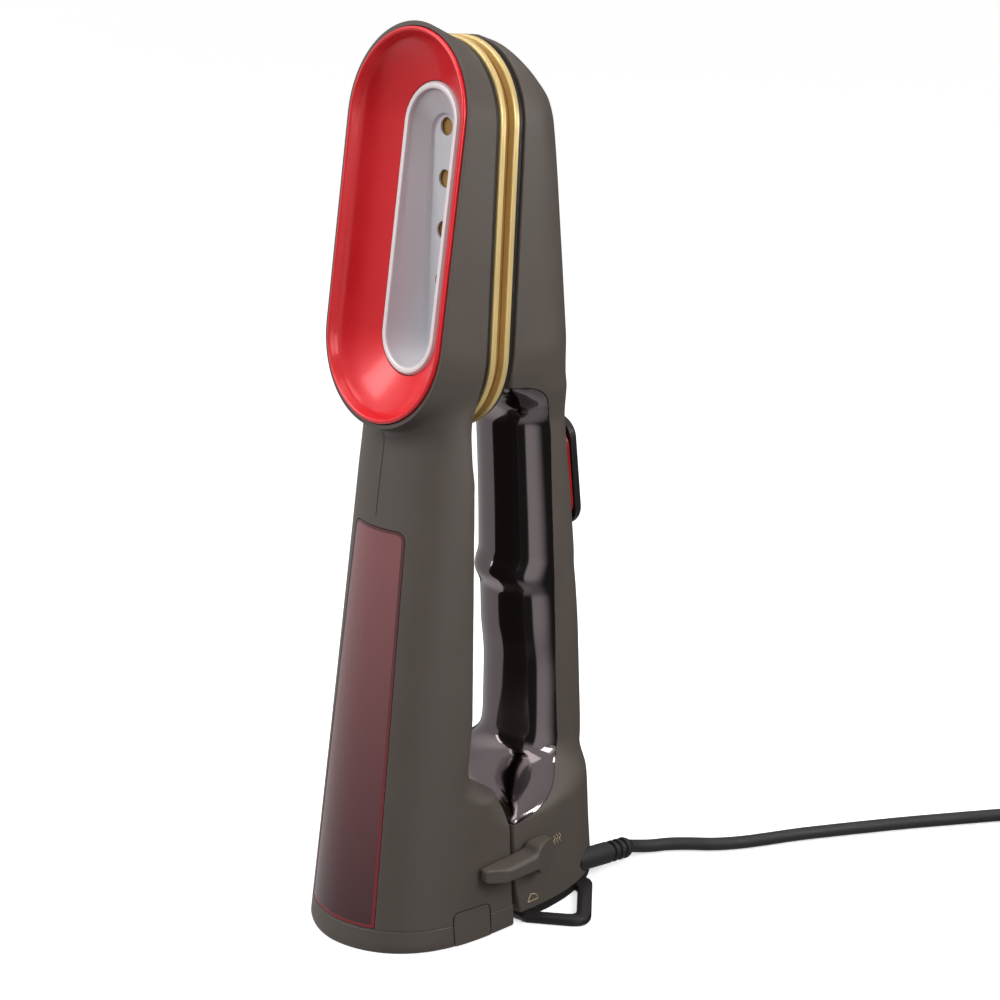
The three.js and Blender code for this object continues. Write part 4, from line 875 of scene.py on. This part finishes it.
def make_rear_cover():
    """The handle half's own shell, behind the chrome grip."""
    cover = soften_saddle(handle_body("rear_cover", BASE_PLATE_H + 0.2, HANDLE_TOP, 0, 1.0))
    inner = handle_body("cutter", BASE_PLATE_H - 2, HANDLE_TOP - 3, WALL, 3)
    lever_bore = bore(LEVER["shaft"] + 0.4, 0, 30, (27, LEVER["y"], LEVER["z"]), (1, 0, 0))
    wide, tall = TRIGGER["half_width"] + 1.8, TRIGGER["half_length"] + 2.4
    trigger_bore = oval_plate("cutter", TRIGGER_OVAL, wide, tall, -10, 6)
    openings = [plate_opening(), hinge_opening(), lever_bore, trigger_bore, relief_bore()]
    combine(cover, [inner, grip_region(GAP / 2), *openings])
    finish_piece(cover, HANDLE, "taupe_plastic", ["rear_shell"])


make_rear_cover()


def make_grip():
    """The chrome grip: the handle's own front, with a ridge between the finger zones."""
    grip = soften_saddle(handle_body("chrome_grip", 30, 222, 0.1, 1.0))
    inner = handle_body("cutter", 28, 226, WALL - 0.2, 3)
    combine(grip, [inner])
    combine(grip, [grip_region(-GAP / 2)], "INTERSECT")
    combine(grip, [hinge_opening(), plate_opening()])
    finish_piece(grip, HANDLE, "black_chrome", ["grip_insert"], 40)


make_grip()


def make_base_loop_plate():
    """The black plate under the handle half, with the hanging loop on its +X side."""
    rim = lambda inset, z: handle_ring(BASE_PLATE_H, inset, level=z)
    levels = [(0, 1.1), (0.25, 0.6), (0.8, 0.35), (BASE_PLATE_H - 0.4, 0.3), (BASE_PLATE_H, 0.5)]
    plate = loft("base_loop_plate", [rim(inset, z) for z, inset in levels])
    tongue = block("tongue", (-12, -6, 0), (12, 8, BASE_PLATE_H))

    def loop_column(inset, z, radius=7.4):
        # the front edge runs back at 3 in 4 and meets the back edge, which runs at 45 degrees
        front, back = LOOP["front"] + inset, LOOP["back"] - 1.41 * inset
        reach = (back - front) / 1.75
        outline = rounded([
            (LOOP["root_x"], front, 0), (BASE_HALF_WIDTH + 1.2, front, 4),
            (BASE_HALF_WIDTH + reach, front + 0.75 * reach, radius),
            (BASE_HALF_WIDTH - LOOP["shoulder"], back + LOOP["shoulder"], 5),
            (LOOP["root_x"], back + LOOP["shoulder"], 0),
        ], 10)
        return [(x, y, z) for x, y in outline]

    top = LOOP["height"]
    soft = [(0, 1.2), (0.35, 0.4), (1.2, 0), (top - 1.2, 0), (top - 0.35, 0.4), (top, 1.2)]
    ring = loft("ring", [loop_column(inset, z) for z, inset in soft])
    wall = loft("cutter", [rim(-0.5, z) for z in (BASE_PLATE_H, 12)])
    combine(ring, [wall])
    keep_body = loft("cutter", [rim(1.2, z) for z in (-10, 20)])
    hole_levels = [(-5, 1.2), *soft, (15, 1.2)]
    hole = loft("hole", [loop_column(LOOP["band"] - round_off, z, 3.5) for z, round_off in hole_levels])
    combine(hole, [keep_body])
    combine(plate, [tongue, ring], "UNION")
    combine(plate, [hole, relief_bore(), *under_pockets(FOOT["handle_y"], SCREW["handle_y"], 2.3)])
    finish_piece(plate, HANDLE, "black_plastic", ["base_plate"])


make_base_loop_plate()


# ---- the trigger: a black pad over a red core

def make_trigger():
    """The black pad, with rounded edges, and the red core that shows on both its sides."""
    a, b, top = TRIGGER["half_width"] + 1.3, TRIGGER["half_length"] + 1.9, TRIGGER["proud"]
    edge = [(3.2 - 3.2 * math.cos(t), top - 2.6 + 2.6 * math.sin(t)) for t in np.linspace(0, math.pi / 2, 9)]
    rings = [oval_ring(TRIGGER_OVAL, a - inset, b - inset, n) for inset, n in [(0, -2), *edge]]
    pad = loft("trigger_button", rings)
    lip = TRIGGER["half_length"] - 1
    low, high = -6, TRIGGER["under"]
    corners = leaning(TRIGGER_OVAL, 0, np.array([-lip, -lip, lip, lip]), np.array([low, high, high, low]))
    under = loft("cutter", [[(x, y, z) for _, y, z in corners] for x in (-20, 20)])
    combine(pad, [under])
    finish_piece(pad, "trigger", "black_plastic", ["trigger_pad"], 40)
    wide, tall = TRIGGER["half_width"] + 0.9, lip - GAP
    core_top = TRIGGER["under"] - GAP
    levels = [(0, -5), (0, core_top - 0.4), (0.4, core_top)]
    rings = [oval_ring(TRIGGER_OVAL, wide - inset, tall - inset, n) for inset, n in levels]
    core = loft("trigger_red_core", rings)
    spring_at = leaning(TRIGGER_OVAL, 0, 11, -8)
    combine(core, [bore(3.6, 0, 8.5, spring_at, leaning(TRIGGER_OVAL, 0, 11, 0) - spring_at)])
    finish_piece(core, "trigger", "red_plastic", ["trigger_core"])


make_trigger()


# ---- the mode lever

def make_lever():
    """A bar beside the body: an oblique nose and a round hub whose outer face falls away to the body."""
    y, z, inner, outer = LEVER["y"], LEVER["z"], LEVER["inner"], LEVER["outer"]

    def side_outline(inset):
        hub, low, high = LEVER["hub"] - inset, LEVER["bottom"] + inset, LEVER["top"] - inset
        nose = LEVER["nose"] + inset
        return rounded([
            (nose, low, 1), (y - hub, low, 2), (y - hub + 1.2, z - hub, 5), (y + hub, z - hub, hub),
            (y + hub, z + hub, hub), (y - hub, z + hub, 5), (y - hub - 1.6, high + 1.5, 4), (nose, high, 1),
        ], 6)

    levels = [(inner - 0.5, 0), (outer - 1.4, 0), (outer - 0.5, 0.35), (outer, 1.2)]
    bar = loft("mode_lever_bar", [[(x, v, w) for v, w in side_outline(inset)] for x, inset in levels])
    tip = LEVER["nose"] - 0.8
    plan = rounded([
        (inner - 1, tip, 0), (inner + 2.2, tip, 2), (outer, tip + 8, 5),
        (outer, y - 7, 9), (inner + 0.8, y + 8, 0), (inner - 1, y + 8, 0),
    ], 8)
    keep = loft("cutter", [[(u, v, w) for u, v in plan] for w in (z - 20, z + 20)])
    combine(bar, [keep], "INTERSECT")
    voxels(bar, 0.3)
    relax(bar, 8, lambda p: 0.5 * smoothstep(p[:, 0] - inner))
    combine(bar, [block("cutter", (inner - 5, -60, 0), (inner, 60, 60))])
    shaft = lathe("shaft", [(LEVER["shaft"], -5.5), (LEVER["shaft"], 1.5)], (inner, y, z), (1, 0, 0))
    combine(bar, [shaft], "UNION")
    finish_piece(bar, "mode_lever", "taupe_plastic", ["mode_lever"])


make_lever()


# ---- the printed marks for the two lever positions

def on_base_side(y, z):
    """A point of the handle half's right side."""
    front, back = handle_value(FRONT, z), handle_value(BACK, z)
    middle = front + (back - front) * handle_value(WIDE, z)
    power, depth = handle_value(BLUNT, z), middle - front
    if y > middle:
        power, depth = BACK_POWER, back - middle
    return (handle_value(HALF, z) * (1 - (abs(y - middle) / depth) ** power) ** (1 / power), y, z)


def make_marks():
    """Three waves of steam, and the outline of a flat iron."""
    y, z, spacing, half_height = 24.6, 28, 1.7, 1.9
    heights = np.linspace(-half_height, half_height, 13)
    waves = [[(y + i * spacing + 0.45 * math.sin(h * 2.6), z + h) for h in heights] for i in (-1, 0, 1)]
    iron = [(7.2, 7.2), (12.4, 7.2), (12.2, 8.6), (10.6, 9.7), (8.8, 10.1), (7.6, 8.4), (7.2, 7.2)]
    for name, lines in (("steam_mark", waves), ("iron_mark", [iron])):
        curve = tube_curve(name, 0.2)
        for line in lines:
            spline = curve.splines.new("POLY")
            spline.points.add(len(line) - 1)
            for point, (y, z) in zip(spline.points, line):
                point.co = (*[MM * value for value in on_base_side(y, z)], 1)
        finish_piece(link(bpy.data.objects.new(name, curve)), HANDLE, material=PRINT)


make_marks()


# -------- the cord, its strain relief and its plug

def make_strain_relief():
    """A tapered rubber sleeve with three ring grooves near its end."""
    start, end = relief_at(RELIEF["wall_y"] - 8), relief_at(RELIEF["end_y"])
    length = float(np.linalg.norm(end - start))
    profile = [(4.2, 0), (4.4, 6), (4.4, length - 12.2), (4.2, length - 11.9)]
    for groove in (length - 11.6, length - 8.3, length - 5):
        profile += [(3.15, groove), (3.05, groove + 0.3), (3.05, groove + 1.2), (3.15, groove + 1.5),
                    (4.1, groove + 1.7), (4.35, groove + 2), (4.35, groove + 2.8), (4.1, groove + 3.1)]
    profile += [(3.9, length - 1), (3.5, length - 0.3), (3.2, length)]
    relief = lathe("cord_strain_relief", profile, start, end - start, 56)
    return finish_piece(relief, HANDLE, "rubber", ["strain_relief"])


relief = make_strain_relief()

FLOOR_Z = CORD_RADIUS + 0.05
COIL_TOP = COIL["layers"] * COIL["pitch"] + GAP + CORD_RADIUS
LEAD = [(RELIEF["x"], RELIEF["end_y"] + 0.7, RELIEF["end_z"]), (28.9, 77, 4.4), (30.6, 83.5, 3)]
LEAD += [(x, y, FLOOR_Z) for x, y in (
    (34.4, 91), (40, 97.8), (46.5, 104.5), (52.8, 113.7), (58.1, 124.4), (63.3, 136), (70.8, 150.5),
    (79, 165.5), (88, 181.5), (98.5, 199), (109.5, 217), (118.6, 232),
)]
TURN_POINTS = 18


def coil_points():
    """Three flat layers, wound in, out and in again, each with a half turn's rise to the next."""
    points = []
    angle = COIL["start"]

    def run(degrees, radius_from, radius_to, z_from, z_to):
        nonlocal angle
        steps = int(round(TURN_POINTS * degrees / 360))
        for i in range(steps):
            t = i / steps
            radius = radius_from + (radius_to - radius_from) * t
            z = z_from + (z_to - z_from) * float(smoothstep(t))
            turn = math.radians(angle - degrees * t)
            points.append((COIL["x"] + radius * math.cos(turn), COIL["y"] + radius * math.sin(turn), z))
        angle -= degrees

    levels = [FLOOR_Z + COIL["pitch"] * i for i in range(COIL["layers"])] + [COIL_TOP]
    here, there = COIL["outer"], COIL["inner"]
    for level, next_level in zip(levels, levels[1:]):
        run(360 * COIL["turns"], here, there, level, level)
        run(180, there, there, level, next_level)
        here, there = there, here
    to_tail = (angle - TAIL["from_angle"]) % 360
    run(to_tail, here, TAIL["radius"], COIL_TOP, COIL_TOP)
    return points


def tail_points(count=8):
    """The last stretch, on top of the coil, up to the plug's middle height."""
    rise = PLUG["height"] / 2 - CORD_RADIUS
    points = []
    for t in np.linspace(0, 1, count):
        turn = math.radians(TAIL["from_angle"] + (TAIL["to_angle"] - TAIL["from_angle"]) * t)
        x = COIL["x"] + TAIL["radius"] * math.cos(turn)
        y = COIL["y"] + TAIL["radius"] * math.sin(turn)
        points.append((x, y, COIL_TOP + rise * float(smoothstep(t))))
    return points


def make_cord():
    """The lead, its coil and its tail, as one curve."""
    route = LEAD + coil_points() + tail_points()
    curve = tube_curve("power_cord_flex", CORD_RADIUS)
    curve.bevel_resolution = 5
    curve.resolution_u = 5
    spline = curve.splines.new("BEZIER")
    spline.bezier_points.add(len(route) - 1)
    for point, place in zip(spline.bezier_points, route):
        point.co = Vector(place) * MM
        point.handle_left_type = point.handle_right_type = "AUTO"
    return link(bpy.data.objects.new("power_cord_flex", curve)), route


cord, cord_route = make_cord()


def onto_plug(points):
    """Places points drawn along +Y so that they go on from the cord's end, on top of the coil."""
    turn = math.radians(TAIL["to_angle"] - 180)
    points = np.asarray(points, float)
    x = points[..., 0] * math.cos(turn) - points[..., 1] * math.sin(turn)
    y = points[..., 0] * math.sin(turn) + points[..., 1] * math.cos(turn)
    return np.stack([x, y, points[..., 2]], -1) + np.array(cord_route[-1])


def make_plug():
    """A moulded plug: a grooved neck that swells into a flat-sided body with a flange."""
    def section(half, tall, y):
        outline = stadium(tall / 2, half, 16, 6)
        return np.stack([outline[:, 1], np.full(len(outline), float(y)), outline[:, 0]], 1)

    stations = [(3.6, 6.0, 0.6), (4.2, 7.0, 1.0)]
    for groove in (2.6, 5.0, 7.4):
        stations += [(4.25, 7.0, groove - 0.5), (3.7, 6.2, groove)]
        stations += [(3.7, 6.2, groove + 0.5), (4.3, 7.1, groove + 1)]
    stations += [(4.6, 7.6, 9.6), (6.2, 9.8, 12), (8.6, 12.6, 14.4), (9.8, 14.0, 16.4), (10.3, 14.7, 18.6),
                 (10.4, 14.8, 24), (10.0, 14.2, 29), (10.5, 15, 30.4), (10.5, 15, 33.3), (10.1, 14.4, 34)]
    body = loft("moulded_plug", [onto_plug(section(*s)) for s in stations])
    return finish_piece(body, HANDLE, "rubber", ["power_plug"])


plug = make_plug()


def make_blade(hand, side):
    """One flat plug blade with rounded corners and a hole."""
    x, half = side * PLUG["pitch"] / 2, PLUG["blade_half_width"]
    y0 = PLUG["length"] + GAP
    y1 = y0 + PLUG["blade_length"]
    outline = rounded([(y0, -half, 0), (y1, -half, 1.2), (y1, half, 1.2), (y0, half, 0)], 4)
    sides = [onto_plug([(x + dx, y, z) for y, z in outline]) for dx in (-0.75, 0.75)]
    blade = loft(f"plug_pin_{hand}", sides)
    centre = onto_plug([(x - 3, y1 - 4, 0)])[0]
    axis = onto_plug([(x + 3, y1 - 4, 0)])[0] - centre
    combine(blade, [bore(1.5, 0, 6, centre, axis, 24)])
    return finish_piece(blade, HANDLE, "steel", [f"plug_blade_{hand}"])


blades = [make_blade("left", -1), make_blade("right", 1)]

finish_piece(cord, HANDLE, "rubber", ["power_cord", "cord_coil", "cord_tail"])


# -------- stage and light

def make_stage():
    """A wide white floor."""
    half = 40000
    corners = [(-half, -half, 0), (half, -half, 0), (half, half, 0), (-half, half, 0)]
    floor = new_mesh("floor", corners, [[0, 1, 2, 3]])
    white = bpy.data.materials.new("white_floor")
    white.use_nodes = True
    shader = white.node_tree.nodes["Principled BSDF"]
    shader.inputs["Base Color"].default_value = (0.92, 0.92, 0.92, 1)
    shader.inputs["Roughness"].default_value = 0.6
    shader.inputs["Emission Color"].default_value = (1, 1, 1, 1)
    shader.inputs["Emission Strength"].default_value = 0.55
    floor.data.materials.append(white)
    floor.visible_glossy = False
    floor.visible_diffuse = False


def add_light(name, place, target, size, power, color=(1, 1, 1)):
    light = bpy.data.lights.new(name, "AREA")
    light.shape = "RECTANGLE"
    light.size, light.size_y = size
    light.energy = power
    light.color = color
    obj = link(bpy.data.objects.new(name, light))
    obj.location = place
    obj.rotation_euler = (Vector(target) - Vector(place)).to_track_quat("-Z", "Y").to_euler()
    obj.visible_camera = False
    return obj


def lobe(tree, direction, towards, edge, core, strength):
    """Brightness around one direction of the room, soft from edge to core (both cosines)."""
    match = node(tree, "VectorMath", {0: direction, 1: towards}, operation="DOT_PRODUCT")
    return node(tree, "MapRange", {
        "Value": match.outputs["Value"],
        "From Min": edge, "From Max": core, "To Min": 0.0, "To Max": strength,
    }, interpolation_type="SMOOTHSTEP").outputs["Result"]


def make_world():
    """White to the eye; matt surfaces get a soft light that grows upwards; gloss sees four soft panels."""
    world = bpy.data.worlds.new("studio")
    bpy.context.scene.world = world
    world.use_nodes = True
    tree = world.node_tree
    tree.nodes.clear()
    direction = node(tree, "TexCoord").outputs["Generated"]
    left = lobe(tree, direction, (-0.766, -0.643, 0.0), 0.34, 0.5, 0.5)
    right_glow = lobe(tree, direction, (0.848, -0.53, 0.0), 0.66, 1.0, 0.85)
    right_start = lobe(tree, direction, (0.707, 0.707, 0.0), 0.0, 0.08, 1.0)
    math_node = lambda a, b, what: node(tree, "Math", {0: a, 1: b}, operation=what).outputs["Value"]
    right = math_node(right_glow, right_start, "MULTIPLY")
    above = lobe(tree, direction, (0.0, 0.0, 1.0), 0.2, 0.85, 0.7)
    below = lobe(tree, direction, (0.0, 0.0, -1.0), 0.45, 0.9, 0.45)
    total = left
    for part in (right, above, below, 0.05):
        total = math_node(total, part, "ADD")
    glossy = node(tree, "Background", {"Color": (1.0, 0.985, 0.985, 1), "Strength": total})
    height = node(tree, "SeparateXYZ", {"Vector": direction}).outputs["Z"]
    falloff = node(tree, "MapRange", {
        "Value": height, "From Min": -0.4, "From Max": 0.6, "To Min": 0.06, "To Max": 0.52,
    }).outputs["Result"]
    matt = node(tree, "Background", {"Color": (1, 1, 1, 1), "Strength": falloff})
    seen = node(tree, "Background", {"Color": (1, 1, 1, 1), "Strength": 1.0})
    path = node(tree, "LightPath")
    lit = node(tree, "MixShader", {
        0: path.outputs["Is Glossy Ray"], 1: matt.outputs["Background"], 2: glossy.outputs["Background"],
    })
    both = node(tree, "MixShader", {
        0: path.outputs["Is Camera Ray"], 1: lit.outputs["Shader"], 2: seen.outputs["Background"],
    })
    node(tree, "OutputWorld", {"Surface": both.outputs["Shader"]})


make_stage()
make_world()
TARGET = (0, 0, 0.17)
add_light("key_left", (-0.6, -1.0, 0.9), TARGET, (0.7, 0.9), 9)
add_light("fill_right", (1.1, 0.3, 0.7), TARGET, (0.5, 0.9), 1.2)
add_light("top", (0, 0, 1.4), TARGET, (0.8, 0.8), 4)
add_light("head_fill", (0.5, 0.05, 0.42), (0, 0, 0.27), (0.25, 0.25), 1.5)
add_light("saddle_fill", (0.26, 0.3, 0.3), (0.02, -0.005, 0.06), (0.03, 0.05), 0.2)

bpy.context.scene.view_settings.view_transform = "Standard"
